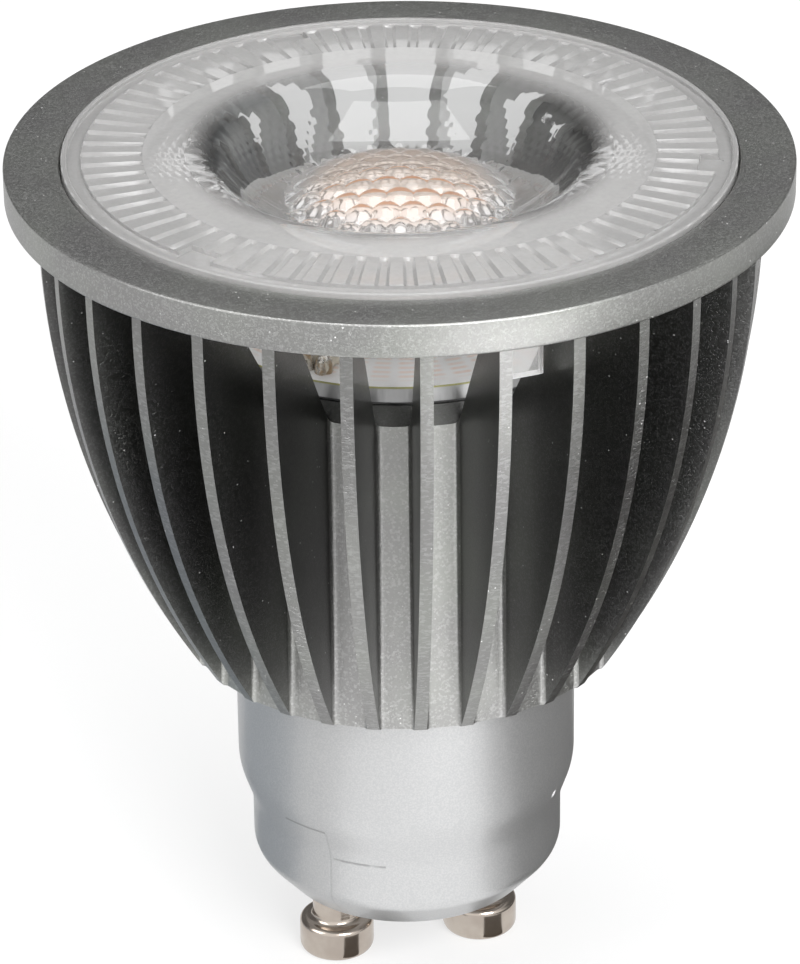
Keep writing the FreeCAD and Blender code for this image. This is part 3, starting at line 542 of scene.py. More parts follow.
def prisms(sections):
    """Vertices and faces of upright prisms; each section is (outline points, low, high)."""
    verts, faces = [], []
    for outline, low, high in sections:
        first, count = len(verts), len(outline)
        verts += [(x, y, low) for x, y in outline] + [(x, y, high) for x, y in outline]
        faces.append(tuple(range(first + count - 1, first - 1, -1)))
        faces.append(tuple(range(first + count, first + 2 * count)))
        faces += [(first + k, first + (k + 1) % count, first + count + (k + 1) % count, first + count + k)
                  for k in range(count)]
    return verts, faces


def turned_about(points, degrees):
    """Plan points turned about the lamp's axis."""
    c, s = math.cos(math.radians(degrees)), math.sin(math.radians(degrees))
    return [(x * c - y * s, x * s + y * c) for x, y in points]


def plan_box(inner, outer, width, degrees, chamfer):
    """A plan rectangle with cut corners, turned about the lamp's axis."""
    h, c = width / 2, chamfer
    return turned_about([(inner + c, -h), (outer - c, -h), (outer, c - h), (outer, h - c), (outer - c, h),
                         (inner + c, h), (inner, h - c), (inner, c - h)], degrees)


print("booleans and prisms ready")

# %% [markdown]
# ## Aluminium
# The heat sink is bare, matt aluminium. Its turned fin edges carry fine tool marks, the rim has a satin
# grain that sparkles, the forged core is coarser, and the sides of the fins are smooth and reflect
# mostly each other, so they look nearly black; their colour is also painted darker, as painted shade in
# the slots, and the lip at the core's top is painted nearly black as painted shadow. A noise alone would
# look like leather: metal grain is made of crystals that each lie their own way, so small cells with a
# chance value each carry tone and bump, and scattered cells are painted lighter as painted glints.

# %% Aluminium finishes
TOOL_MARKS = {"satin": ((9.0, 9.0, 9.0), 0.035), "turned": ((3.6, 3.6, 8.0), 0.035),
              "forged": ((7.0, 7.0, 7.0), 0.035), "smooth": ((9.0, 9.0, 9.0), 0.012)}


def sink_finish(name, tone, rough, marks):
    """Aluminium under tool marks, given by their cells per millimetre along each axis and their depth."""
    stretch, depth = TOOL_MARKS[marks]
    metal = Finish(name)
    grain = metal.noise(per_mm=13.0, detail=1.0)
    cloud = metal.noise(per_mm=0.12)
    dust = metal.specks(per_mm=4.5, share=0.014)
    painted_glint = metal.specks(per_mm=7.5, share=0.2)
    _, sand = metal.cells(1.0, stretch)
    height = grain * 0.4 + sand * 0.6
    dull, fresh = grey(tone * 0.92, 0.01), (tone * 1.05, tone * 1.07, tone * 1.01, 1)
    shade = metal.blend(cloud.step(0.3, 0.7), dull, fresh)
    # Scattered cells are painted lighter: painted glints, together with lighter grain cells.
    grain_and_painted_glint = painted_glint * 0.3 + sand.step(0.5, 1.0) * 0.22
    shade = metal.blend(grain_and_painted_glint, shade, grey(min(tone * 2.2, 0.9)))
    shade = metal.blend(dust, shade, grey(0.75))
    return metal.shade(Base_Color=shade, Metallic=1 - dust * 0.9,
                       Roughness=(rough - 0.07) + height * 0.14, Normal=metal.bump(height, depth, 0.9))


sink_finishes = (sink_finish("rim_satin", 0.34, 0.39, "satin"),
                 sink_finish("fin_edge_turned", 0.27, 0.33, "turned"),
                 # Fin sides: smooth metal, with their colour painted darker as painted shade in the slots.
                 sink_finish("fin_side_painted_shade", 0.19, 0.34, "smooth"),
                 sink_finish("core_flat", 0.39, 0.36, "forged"),
                 # The lip at the core's top, under the board: painted nearly black as a painted shadow line.
                 sink_finish("core_shoulder_painted_shadow", 0.08, 0.50, "satin"))
RIM, EDGE, SIDE_PAINTED_SHADE, CORE, SHOULDER_PAINTED_SHADOW = range(len(sink_finishes))
print(len(sink_finishes), "aluminium finishes")

# %% [markdown]
# ## Heat sink
# On the real lamp this is one forged piece of aluminium: the curved outline, the rim and the conical
# throat are turned, and the gaps between the thirty fins are flat sided. It could be drawn fin by fin, but
# a lathe with thirty slots cut out of it follows how it is made and keeps every edge where it belongs.

# %% Turn the heat sink
SINK_BOTTOM, RIM_TOP, RIM_RADIUS = extent("heat_sink")
# The pad lies on the core's top plate, and the base's sleeve ends below that plate.
CORE_TOP, _, _ = extent("thermal_pad")
_, PLATE_BOTTOM, _ = extent("base_housing")
RIM_BOTTOM, RIM_OPENING, LEDGE = 56.0, 21.5, 56.7
SINK_RADIUS, FIN_TOP_RADIUS, FIN_ARC_RADIUS = 14.4, 23.0, 56.8
THROAT_RADIUS, THROAT_BOTTOM, THROAT_LOW_RADIUS = 20.9, 45.9, 14.15
CORE_RADIUS, CORE_TOP_RADIUS, BORE_RADIUS = 14.2, 13.5, 11.3
SINK_STEPS, FIN_ARC_STEPS = 480, 30

fin_arc = arc_to((SINK_RADIUS, SINK_BOTTOM), (FIN_TOP_RADIUS, RIM_BOTTOM), FIN_ARC_RADIUS, 1, FIN_ARC_STEPS)
corners = [(BORE_RADIUS, SINK_BOTTOM, 0, EDGE)]
corners += [(r, z, 0, EDGE) for r, z in fin_arc]
corners += [(FIN_TOP_RADIUS, RIM_BOTTOM, 0, RIM), (RIM_RADIUS, RIM_BOTTOM, 0.18, RIM),
            (RIM_RADIUS, RIM_TOP, 0.15, RIM), (RIM_OPENING, RIM_TOP, 0.12, RIM), (RIM_OPENING, LEDGE, 0, RIM),
            (THROAT_RADIUS, LEDGE, 0, SIDE_PAINTED_SHADE), (THROAT_LOW_RADIUS, THROAT_BOTTOM, 0, SHOULDER_PAINTED_SHADOW),
            (CORE_TOP_RADIUS, CORE_TOP, 0, SIDE_PAINTED_SHADE), (0, CORE_TOP, 0, SIDE_PAINTED_SHADE), (0, PLATE_BOTTOM, 0, SIDE_PAINTED_SHADE),
            (BORE_RADIUS, PLATE_BOTTOM, 0, SIDE_PAINTED_SHADE)]
heat_sink = solid("finned_heat_sink", *lathe(*softened(corners), SINK_STEPS), sink_finishes)
print("heat sink turned,", len(corners), "corners")

# %% Slots between the fins
FIN_COUNT, FIN_THICKNESS, SLOT_PHASE, SLOT_CORNER = 30, 0.8, 1.69, 0.35
CUT_OUTSIDE, CUT_BELOW = 3, 2

pitch = 360 / FIN_COUNT
spread = math.tan(math.radians(pitch / 2))
inset = FIN_THICKNESS / 2 / math.cos(math.radians(pitch / 2))
far = RIM_RADIUS + CUT_OUTSIDE
root, mouth = CORE_RADIUS * spread - inset, far * spread - inset
gap, _ = softened([(far, -mouth, 0, 0), (far, mouth, 0, 0), (CORE_RADIUS, root, SLOT_CORNER, 0),
                   (CORE_RADIUS, -root, SLOT_CORNER, 0)])
slots = [(turned_about(gap, SLOT_PHASE + k * pitch), SINK_BOTTOM - CUT_BELOW, RIM_BOTTOM)
         for k in range(FIN_COUNT)]
slot_zones = (SIDE_PAINTED_SHADE, RIM, SIDE_PAINTED_SHADE, SIDE_PAINTED_SHADE) + (CORE,) * (len(gap) - 3) + (SIDE_PAINTED_SHADE,)
carve(heat_sink, solid("slots", *prisms(slots), slot_zones * FIN_COUNT, sink_finishes))
settle(heat_sink, "sink_aluminium", "heat_sink")

# %% [markdown]
# ## Clear acrylic
# The lens is moulded in clear acrylic, which is a glass to the renderer. Where its mould was textured or
# its facets scatter, it looks milky. A rough glass alone turns too dark, so a haze mixes some milky
# surface into the clear one, with a share that sets in between two radii. Near the axis the dome's colour
# is tinted with the orange of the light source below it, a painted image of the phosphor.

# %% Acrylic finishes
ACRYLIC_IOR = 1.49
MILK, CLEAR_TONE = grey(0.55, 0.01), grey(0.96)
# The light source's orange, painted into the dome's acrylic near the axis: a painted image of the phosphor.
PAINTED_SOURCE_MILK, PAINTED_SOURCE_CLEAR = (0.80, 0.62, 0.50, 1), (0.95, 0.70, 0.54, 1)
PAINTED_SOURCE_FULL_TO, PAINTED_SOURCE_END = 4.2, 7.0

acrylic = Finish("clear_acrylic")
flow = acrylic.noise(per_mm=0.35)
haze = acrylic.noise(per_mm=2.5, detail=3.0)
clear_acrylic = acrylic.shade(
    Base_Color=acrylic.blend(flow, (0.92, 0.93, 0.925, 1), (0.95, 0.955, 0.95, 1)),
    Roughness=0.02 + haze * 0.03, IOR=ACRYLIC_IOR, Transmission_Weight=1.0,
    Normal=acrylic.bump(flow, 0.02, 0.25))


def hazed(name, rough, least, more, clear_to, hazy_from, glow=0.0):
    """Acrylic with a haze that sets in between two radii, and near the axis a painted tint of the light
    source.
    """
    frost = Finish(name)
    grit = frost.noise(per_mm=3.0, detail=3.0)
    reach, _ = frost.polar()
    milk, clear = MILK, CLEAR_TONE
    # glow sets how strongly the light source's colour is painted in near the axis.
    if glow:
        painted_source_share = (1 - reach.step(PAINTED_SOURCE_FULL_TO, PAINTED_SOURCE_END)) * (0.7 + grit * 0.6) * glow
        milk, clear = frost.blend(painted_source_share, MILK, PAINTED_SOURCE_MILK), frost.blend(painted_source_share, CLEAR_TONE, PAINTED_SOURCE_CLEAR)
    milky = frost.principled(Base_Color=milk, Roughness=0.3)
    glassy = frost.principled(Base_Color=clear, Roughness=rough, IOR=ACRYLIC_IOR, Transmission_Weight=1.0)
    share = (least + grit * more) * reach.step(clear_to, hazy_from)
    return frost.surface(frost.layered(share, glassy, milky))


lens_finishes = (clear_acrylic,
                 hazed("frosted_acrylic", 0.18, 0.43, 0.08, clear_to=15.0, hazy_from=15.5),
                 hazed("pearly_acrylic", 0.06, 0.48, 0.1, clear_to=11.8, hazy_from=14.6),
                 hazed("dome_acrylic", 0.04, 0.15, 0.08, clear_to=-2.0, hazy_from=-1.0, glow=0.7),
                 hazed("facet_acrylic", 0.04, 0.40, 0.1, clear_to=15.0, hazy_from=9.0),
                 hazed("leg_acrylic", 0.08, 0.2, 0.1, clear_to=15.0, hazy_from=15.5))
CLEAR, FROSTED, PEARLY, DOME, FACET, LEG = range(len(lens_finishes))
print(len(lens_finishes), "acrylic finishes")

# %% [markdown]
# ## Lens
# The lens is one moulding. Its flange lies in the rim and has radial flutes, a hollow well holds a dome of
# small lenslets, and below hangs a cone whose facets throw the light forward. Glass shows both its sides,
# so the underside matters as much as the top. One lathe makes the closed surface, with the well's edge
# rounded as the mould leaves it, and a relief function moves points for the lenslets, the flutes
# and the facets. The snap legs and small recesses come from booleans, so the body stays one closed skin.

# %% Dome and well
_, LENS_TOP, LENS_RADIUS = extent("lens")
BOARD_BOTTOM, BOARD_TOP, BOARD_RADIUS = extent("led_board")
WELL_RADIUS, WELL_BOTTOM, WELL_ARC_RADIUS, WELL_ROUND = 12.0, 55.2, 9.0, 1.5
DOME_RADIUS, DOME_RISE = 7.4, 1.9
DOME_RINGS, WELL_RINGS = 58, 12

sphere = cap_sphere(DOME_RADIUS, DOME_RISE)
dome_line = []
for ring in range(DOME_RINGS):
    r = DOME_RADIUS * ring / DOME_RINGS
    dome_line.append((r, WELL_BOTTOM + DOME_RISE - sphere + math.sqrt(sphere ** 2 - r * r)))
well_line = arc_to((DOME_RADIUS, WELL_BOTTOM), (WELL_RADIUS, LENS_TOP), WELL_ARC_RADIUS, 1, WELL_RINGS)[:-2]
wall_end, edge, edge_end = (Vector(spot) for spot in (
    well_line[-1], (WELL_RADIUS, LENS_TOP), (WELL_RADIUS + WELL_ROUND, LENS_TOP)))
well_line += [tuple(bend(wall_end, edge, edge_end, ring / WELL_RINGS)) for ring in range(1, WELL_RINGS)]
print(len(dome_line), "rings in the dome and", len(well_line), "in the well")

# %% Flange
FLUTE_INNER, FLUTE_OUTER, FLUTE_COUNT, FLUTE_DEPTH = 16.2, 20.1, 72, 0.2
FLUTE_LEAD, FLUTE_RAMP, FLUTE_MIDDLE, FLUTE_LIP = 0.1, 0.15, 18.1, 0.05
STEP_OUTER, STEP_MIDDLE, STEP_DEPTH, STEP_ROUND, STEP_FOOT = 21.0, 20.5, 0.3, 0.04, 0.02
BEAD_ROUND, RIM_ROUND, UNDER_ROUND = 0.06, 0.08, 0.05
PEARL_MIDDLE, UNDER_MIDDLE = 14.5, 19.0

step_floor = LENS_TOP - STEP_DEPTH
flange_line = [(WELL_RADIUS + WELL_ROUND, LENS_TOP), (PEARL_MIDDLE, LENS_TOP),
               (FLUTE_INNER - FLUTE_LEAD, LENS_TOP), (FLUTE_INNER, LENS_TOP),
               (FLUTE_INNER + FLUTE_RAMP, LENS_TOP), (FLUTE_MIDDLE, LENS_TOP),
               (FLUTE_OUTER - FLUTE_LIP, LENS_TOP), (FLUTE_OUTER, LENS_TOP - FLUTE_LIP),
               (FLUTE_OUTER, step_floor + STEP_FOOT), (FLUTE_OUTER + STEP_ROUND, step_floor),
               (STEP_MIDDLE, step_floor), (STEP_OUTER - STEP_ROUND, step_floor),
               (STEP_OUTER, step_floor + STEP_ROUND), (STEP_OUTER, LENS_TOP - BEAD_ROUND),
               (STEP_OUTER + BEAD_ROUND, LENS_TOP), (LENS_RADIUS - RIM_ROUND, LENS_TOP),
               (LENS_RADIUS, LENS_TOP - RIM_ROUND), (LENS_RADIUS, LEDGE + UNDER_ROUND),
               (LENS_RADIUS - UNDER_ROUND, LEDGE), (UNDER_MIDDLE, LEDGE)]
print(len(flange_line), "rings in the flange")

# %% Cone and hollow
CONE_TOP_RADIUS, CONE_FOOT_RADIUS, FOOT_WIDTH, AIR = 16.0, 8.5, 0.9, 0.03
CAVITY_RADIUS, CAVITY_TOP, BULGE_RADIUS, CAVITY_BULGE = 6.8, 52.0, 5.6, 0.8
FACET_ROWS, FACET_RINGS, BULGE_RINGS = 14, 4, 8

cone_count = FACET_ROWS * FACET_RINGS
foot = BOARD_TOP + AIR
cone_line = [(CONE_TOP_RADIUS + (CONE_FOOT_RADIUS - CONE_TOP_RADIUS) * k / cone_count,
              LEDGE + (foot - LEDGE) * k / cone_count) for k in range(cone_count + 1)]
hollow_line = [(CONE_FOOT_RADIUS - FOOT_WIDTH, foot), (CAVITY_RADIUS, CAVITY_TOP)]
sphere = cap_sphere(BULGE_RADIUS, CAVITY_BULGE)
for ring in range(BULGE_RINGS + 1):
    r = BULGE_RADIUS * (1 - ring / BULGE_RINGS)
    hollow_line.append((r, CAVITY_TOP - CAVITY_BULGE + sphere - math.sqrt(sphere ** 2 - r * r)))
lens_points = dome_line + well_line + flange_line + cone_line + hollow_line
cone_first = len(dome_line) + len(well_line) + len(flange_line)
print(len(lens_points), "rings in the lens outline")

# %% Lenslets, flutes and facets
LEG_PHASE = -82.31
LENSLET_PITCH, LENSLET_RADIUS, LENSLET_TURN = 1.7, 1.65, math.radians(-13.96)
FLUTE_HALF_DEG, LEVEL_SLACK = 1.0, 0.01
FACET_DEPTH, FACET_COLUMNS = 0.028, 96


def lenslets(x, y):
    """How far the dome's small lenses dip below their crowns, on a six-sided grid."""
    c, s = math.cos(LENSLET_TURN), math.sin(LENSLET_TURN)
    x, y = x * c + y * s, y * c - x * s
    row = LENSLET_PITCH * math.sqrt(3)
    nearest = np.inf
    for ox, oy in ((0, 0), (LENSLET_PITCH / 2, row / 2)):
        dx = (x - ox) - LENSLET_PITCH * np.round((x - ox) / LENSLET_PITCH)
        dy = (y - oy) - row * np.round((y - oy) / row)
        nearest = np.minimum(nearest, dx * dx + dy * dy)
    return LENSLET_RADIUS - np.sqrt(LENSLET_RADIUS ** 2 - nearest)


def facets(ring, angles):
    """How far the cone's cushions dip below their crowns, in rows that are set off by half a cushion."""
    row = ring / FACET_RINGS
    column = (np.degrees(angles) - LEG_PHASE) * FACET_COLUMNS / 360 + 0.5 * (math.floor(row) % 2)
    across = 2 * (column - np.floor(column)) - 1
    along = 2 * (row - math.floor(row)) - 1
    return FACET_DEPTH * (1 - (1 - across ** 2) * (1 - along ** 2))


def lens_relief(index, r, z, angles):
    """Shift of a ring's points along the radius and upwards."""
    if index < len(dome_line):
        return 0.0, -lenslets(r * np.cos(angles), r * np.sin(angles))
    if FLUTE_INNER < r < FLUTE_OUTER and z > LENS_TOP - LEVEL_SLACK:
        beside = np.degrees(angles) - LEG_PHASE
        beside -= 360 / FLUTE_COUNT * np.round(beside * FLUTE_COUNT / 360)
        return 0.0, np.where(np.abs(beside) < FLUTE_HALF_DEG, -FLUTE_DEPTH, 0.0)
    if 0 < index - cone_first < cone_count:
        slant = Vector((CONE_TOP_RADIUS - CONE_FOOT_RADIUS, LEDGE - BOARD_TOP)).normalized()
        dip = facets(index - cone_first, angles)
        return -dip * slant.y, dip * slant.x
    return 0.0, 0.0


print("lenslets dip", round(float(lenslets(LENSLET_PITCH / 2, 0.0)), 3), "mm, facets", FACET_DEPTH, "mm")

# %% Lens body
LENS_STEPS, LENS_SHARP_DEG = FLUTE_COUNT * 8, 40
TOP_SLACK = 0.02

lens_zones = [DOME] * len(dome_line)
for r, z in lens_points[len(dome_line):]:
    on_top = z > LEDGE + TOP_SLACK and r >= WELL_RADIUS
    lens_zones.append(CLEAR if not on_top else FROSTED if r >= FLUTE_INNER else PEARLY)
lens_zones[cone_first:cone_first + cone_count] = [FACET] * cone_count
lens_skin = lathe(lens_points, lens_zones, LENS_STEPS, lens_relief, LEG_PHASE)
lens = solid("lens_moulding", *lens_skin, lens_finishes, LENS_SHARP_DEG)
print("lens body", len(lens.data.polygons), "faces")

# %% Legs, hooks and recesses
LEG_COUNT, LEG_CHAMFER, SINK_IN = 3, 0.12, 0.3
LEG_REACH, LEG_THICKNESS, LEG_WIDTH, LEG_LENGTH = 20.16, 1.1, 2.5, 5.1
HOOK_DEPTH, HOOK_HEIGHT, HOOK_TOP, HOOK_ROOT, HOOK_NARROWER = 0.7, 0.8, 55.95, 0.4, 0.1
RECESS_INNER, RECESS_OUTER, RECESS_WIDTH, RECESS_DEPTH = 18.9, 20.1, 2.4, 0.35
RECESS_CHAMFER, RECESS_OPEN = 0.05, 1

leg_inner = LEG_REACH - LEG_THICKNESS
legs, hooks, recesses = [], [], []
for k in range(LEG_COUNT):
    degrees = LEG_PHASE + k * 360 / LEG_COUNT
    between = degrees + 180 / LEG_COUNT
    legs.append((plan_box(leg_inner, LEG_REACH, LEG_WIDTH, degrees, LEG_CHAMFER),
                 LEDGE - LEG_LENGTH, LEDGE + SINK_IN))
    hooks.append((plan_box(leg_inner + HOOK_ROOT, LEG_REACH + HOOK_DEPTH, LEG_WIDTH - HOOK_NARROWER, degrees,
                           LEG_CHAMFER), HOOK_TOP - HOOK_HEIGHT, HOOK_TOP))
    recesses.append((plan_box(RECESS_INNER, RECESS_OUTER + SINK_IN, RECESS_WIDTH, between, RECESS_CHAMFER),
                     LENS_TOP - RECESS_DEPTH, LENS_TOP + RECESS_OPEN))
for name, sections, operation, zone in (("legs", legs, "UNION", LEG), ("hooks", hooks, "UNION", LEG),
                                        ("recesses", recesses, "DIFFERENCE", FROSTED)):
    verts, faces = prisms(sections)
    tool = solid(name, verts, faces, [zone] * len(faces), lens_finishes)
    carve(lens, tool, operation, LENS_SHARP_DEG)
settle(lens, "clear_lens", "lens")

# %% [markdown]
# ## Board
# Below the lens lies a round board: an aluminium plate with a thin insulating layer, white on top. Between
# the fins one sees its edge and its white face, on which the lens throws spots of the light source's
# colour. The board is turned, with a zone for each layer, and faint warm dashes painted on its face stand
# for those spots, as painted light.

# %% Board finishes
DASH_ROW, DASH_COUNT, DASH_FROM, DASH_END = 0.62, 44, 12.2, 12.9
PAINTED_SPOT_TONE = (0.86, 0.55, 0.40, 1)

mask = Finish("white_solder_mask")
speckle = mask.noise(per_mm=1.5, detail=3.0)
reach, around = mask.polar()
in_rows = mask.math("PINGPONG", reach / DASH_ROW, 0.5).step(0.1, 0.4)
in_columns = mask.math("PINGPONG", around * (DASH_COUNT / (2 * math.pi)), 0.5).step(0.05, 0.3)
# Warm dashes on the white face: painted light, the spots of the source's colour that the lens throws there.
painted_spots = in_rows * in_columns * (1 - reach.step(DASH_FROM, DASH_END))
white = mask.blend(speckle, grey(0.88, 0.01), grey(0.95))
white_mask = mask.shade(Base_Color=mask.blend(painted_spots * speckle * 0.7, white, PAINTED_SPOT_TONE),
                        Roughness=0.35 + speckle * 0.15, Normal=mask.bump(speckle, 0.02, 0.3))
layer = Finish("olive_insulation")
fibre = layer.noise(per_mm=4.0, stretch=(1, 1, 3))
olive_layer = layer.shade(Base_Color=layer.blend(fibre, (0.34, 0.33, 0.12, 1), (0.50, 0.48, 0.22, 1)),
                          Roughness=0.5)
plate = Finish("sheared_aluminium")
shear = plate.noise(per_mm=3.0, detail=3.0, stretch=(1, 1, 0.2))
sheared_plate = plate.shade(Base_Color=plate.blend(shear, grey(0.42), grey(0.60)), Metallic=1.0,
                            Roughness=0.35 + shear * 0.2, Normal=plate.bump(shear, 0.03, 0.6))
board_finishes = (white_mask, olive_layer, sheared_plate)
FACE, LAYER, PLATE = range(len(board_finishes))
print(len(board_finishes), "board finishes")

# %% Board mesh
LAYER_DEPTH, ROUND_STEPS = 0.14, 240
corners = [(0, BOARD_TOP, 0, FACE), (BOARD_RADIUS, BOARD_TOP, 0.04, LAYER),
           (BOARD_RADIUS, BOARD_TOP - LAYER_DEPTH, 0, PLATE), (BOARD_RADIUS, BOARD_BOTTOM, 0.05, PLATE),
           (0, BOARD_BOTTOM, 0, PLATE)]
board = solid("source_board", *lathe(*softened(corners), ROUND_STEPS), board_finishes)
settle(board, "white_board", "led_board")

# %% [markdown]
# ## Light source
# On the board sits the light source: a square white ceramic carrier with a round patch of orange phosphor
# gel. The lens's hollow covers both, and the lenslets spread their colour. The carrier is a prism with
# bevelled edges, and the patch is a turned cap, swollen as a drop of gel sets.

# %% Ceramic carrier
CARRIER_CORNER, CARRIER_BEVEL, CARRIER_SEGMENTS = 0.4, 0.08, 2
_, CARRIER_TOP, CARRIER_REACH = extent("led_package")

clay = Finish("white_ceramic")
pores = clay.noise(per_mm=3.0, detail=3.0)
white_ceramic = clay.shade(Base_Color=clay.blend(pores, grey(0.80, 0.01), grey(0.90)),
                           Roughness=0.4 + pores * 0.2, Normal=clay.bump(pores, 0.02, 0.4))
carrier_plan = plan_box(-CARRIER_REACH, CARRIER_REACH, 2 * CARRIER_REACH, 0, CARRIER_CORNER)
verts, faces = prisms([(carrier_plan, BOARD_TOP, CARRIER_TOP)])
carrier = solid("ceramic_carrier", verts, faces, [0] * len(faces), (white_ceramic,))
softening = carrier.modifiers.new("edges", "BEVEL")
softening.width, softening.segments, softening.limit_method = CARRIER_BEVEL * MM, CARRIER_SEGMENTS, "ANGLE"
settle(carrier, "white_ceramic", "led_package")

# %% Phosphor patch
_, PATCH_TOP, PATCH_RADIUS = extent("led_phosphor")
PATCH_RINGS, SMALL_STEPS = 10, 96

gel = Finish("orange_phosphor")
swirl = gel.noise(per_mm=1.6)
orange_phosphor = gel.shade(Base_Color=gel.blend(swirl, (0.82, 0.30, 0.07, 1), (0.88, 0.40, 0.12, 1)),
                            Roughness=0.25 + swirl * 0.15, Normal=gel.bump(swirl, 0.04, 0.5), Coat_Weight=0.4)
crown = cap_sphere(PATCH_RADIUS, PATCH_TOP - CARRIER_TOP)
patch_line = arc_to((PATCH_RADIUS, CARRIER_TOP), (0, PATCH_TOP), crown, 1, PATCH_RINGS)
patch_line += [(0, PATCH_TOP), (0, CARRIER_TOP)]
patch = solid("phosphor_patch", *lathe(patch_line, [0] * len(patch_line), SMALL_STEPS), (orange_phosphor,))
settle(patch, "orange_phosphor", "led_phosphor")

# %% [markdown]
# ## Solder joints
# Two wires come up through the board and are soldered to its face. Solder sets as a rounded, lopsided
# heap, bright where it is clean and brown where flux is left. A sphere would look like a bead, so each
# heap is built ring by ring with a wavering radius.

# %% Solder joints
LEAD_ANGLE, LEAD_SPREAD, LEAD_END = -130.0, 1.2, 12.6
JOINT_INSET, JOINT_WIDTH, JOINT_HEIGHT, JOINT_SHARP_DEG = 0.35, 1.1, 1.15, 60
LUMP_STEPS, LUMP_RINGS, LUMP_FULLNESS = 24, 8, 0.7

tin = Finish("solder")
flux = tin.noise(per_mm=1.4, detail=3.0).step(0.45, 0.62)
solder = tin.shade(Base_Color=tin.blend(flux, (0.66, 0.64, 0.60, 1), (0.42, 0.30, 0.18, 1)),
                   Metallic=1 - flux, Roughness=0.25 + flux * 0.2,
                   Normal=tin.bump(tin.noise(per_mm=2.2), 0.15, 0.6))


def lump(x, y, z, width, height):
    """Vertices and faces of a rounded heap on the board, as solder sets."""
    verts, faces = [], []
    for ring in range(LUMP_RINGS):
        t = ring / LUMP_RINGS * math.pi / 2
        r = width / 2 * math.cos(t) ** LUMP_FULLNESS
        for k in range(LUMP_STEPS):
            a = 2 * math.pi * k / LUMP_STEPS
            wide = r * (1 + 0.12 * math.sin(2 * a + 1) + 0.06 * math.sin(5 * a))
            verts.append((x + wide * math.cos(a), y + wide * math.sin(a), z + height * math.sin(t)))
    top = len(verts) - LUMP_STEPS
    verts.append((x, y, z + height))
    for k in range(LUMP_STEPS):
        n = (k + 1) % LUMP_STEPS
        faces += [(low + k, low + n, low + LUMP_STEPS + n, low + LUMP_STEPS + k)
                  for low in range(0, top, LUMP_STEPS)]
        faces.append((top + k, top + n, top + LUMP_STEPS))
    faces.append(tuple(range(LUMP_STEPS - 1, -1, -1)))
    return verts, faces


verts, faces = [], []
for side in (-1, 1):
    spot = turned_about([(LEAD_END - JOINT_INSET, side * LEAD_SPREAD / 2)], LEAD_ANGLE)[0]
    heap, shells = lump(*spot, BOARD_TOP, JOINT_WIDTH, JOINT_HEIGHT)
    faces += [tuple(index + len(verts) for index in face) for face in shells]
    verts += heap
joints = solid("solder_joints", verts, faces, [0] * len(faces), (solder,), JOINT_SHARP_DEG)
settle(joints, "screw_steel")

# %% [markdown]
# ## Silver paint
# The base is painted silver. The paint holds fine metal flakes, and the mould left thin parting lines low
# on one side and a small nib. They are very shallow, so the finish draws them by height and angle, in
# tone and in bump, and the nib's bright spot is a painted highlight.

# %% Silver paint
LINE_WIDTH, LINE_CORE = 0.11, 0.4
NIB_TURN, NIB_HEIGHT, NIB_CORE, NIB_EDGE = math.radians(-42.2), 14.05, 0.12, 0.36

paint = Finish("silver_paint")
reach, around = paint.polar()
flakes = paint.noise(per_mm=9.0, detail=1.0)
coat = paint.noise(per_mm=0.25)


def thin_line(offset):
    """1 on a thin line, by the distance from it."""
    return 1 - abs(offset).step(LINE_WIDTH * LINE_CORE, LINE_WIDTH)


def line_along(height, first_deg, last_deg):
    """A level parting line between two directions."""
    inside = (around > math.radians(first_deg)) * (around < math.radians(last_deg))
    return inside * thin_line(paint.z - height)


def line_up(degrees, low, high):
    """An upright parting line between two heights."""
    inside = (paint.z > low) * (paint.z < high)
    return inside * thin_line((around - math.radians(degrees)) * reach)


broken = paint.noise(per_mm=0.9, detail=1.0).step(0.35, 0.55)
lines = line_along(height=13.85, first_deg=-151.0, last_deg=-133.5)
lines = lines + line_along(height=11.6, first_deg=-136.5, last_deg=-112.0) * broken
lines = lines + line_up(degrees=-133.45, low=7.0, high=13.85) * 0.3
off_nib = (((around - NIB_TURN) * reach) ** 2 + (paint.z - NIB_HEIGHT) ** 2) ** 0.5
nib_and_painted_highlight = 1 - off_nib.step(NIB_CORE, NIB_EDGE)
silver = paint.blend(flakes.step(0.35, 0.7), grey(0.48, -0.01), grey(0.54))
silver = paint.blend(lines * 0.6, silver, grey(0.24))
# The nib's spot is painted light and less metallic: a painted highlight on a real bump.
silver = paint.blend(nib_and_painted_highlight * 0.8, silver, grey(0.85))
height = flakes * 0.2 + coat - lines * 1.5 + nib_and_painted_highlight
silver_paint = paint.shade(Base_Color=silver, Metallic=0.85 - nib_and_painted_highlight * 0.8, Roughness=0.34 + flakes * 0.1,
                           Normal=paint.bump(height, 0.03, 0.5), Coat_Weight=0.1)
print("silver paint with three parting lines and a nib")

# %% [markdown]
# ## Base
# The base is a moulded plastic cap. Its outline steps in below, with soft shoulders, and ends in a bevel
# above the flat face that carries the pins. The lathe turns it as a hollow cap. Its rails and bosses
# inside never show and stay in the construction model.

# %% Base mesh
BASE_FACE, SLEEVE_TOP, UPPER_RADIUS = extent("base_housing")
BEVEL_TOP, TAPER_BOTTOM, TAPER_TOP = 8.4, 12.0, 14.6
BASE_FACE_RADIUS, LOWER_RADIUS = 8.3, 10.3
BASE_WALL, FLOOR_THICKNESS, CORNER_STEPS = 1.3, 2.0, 8

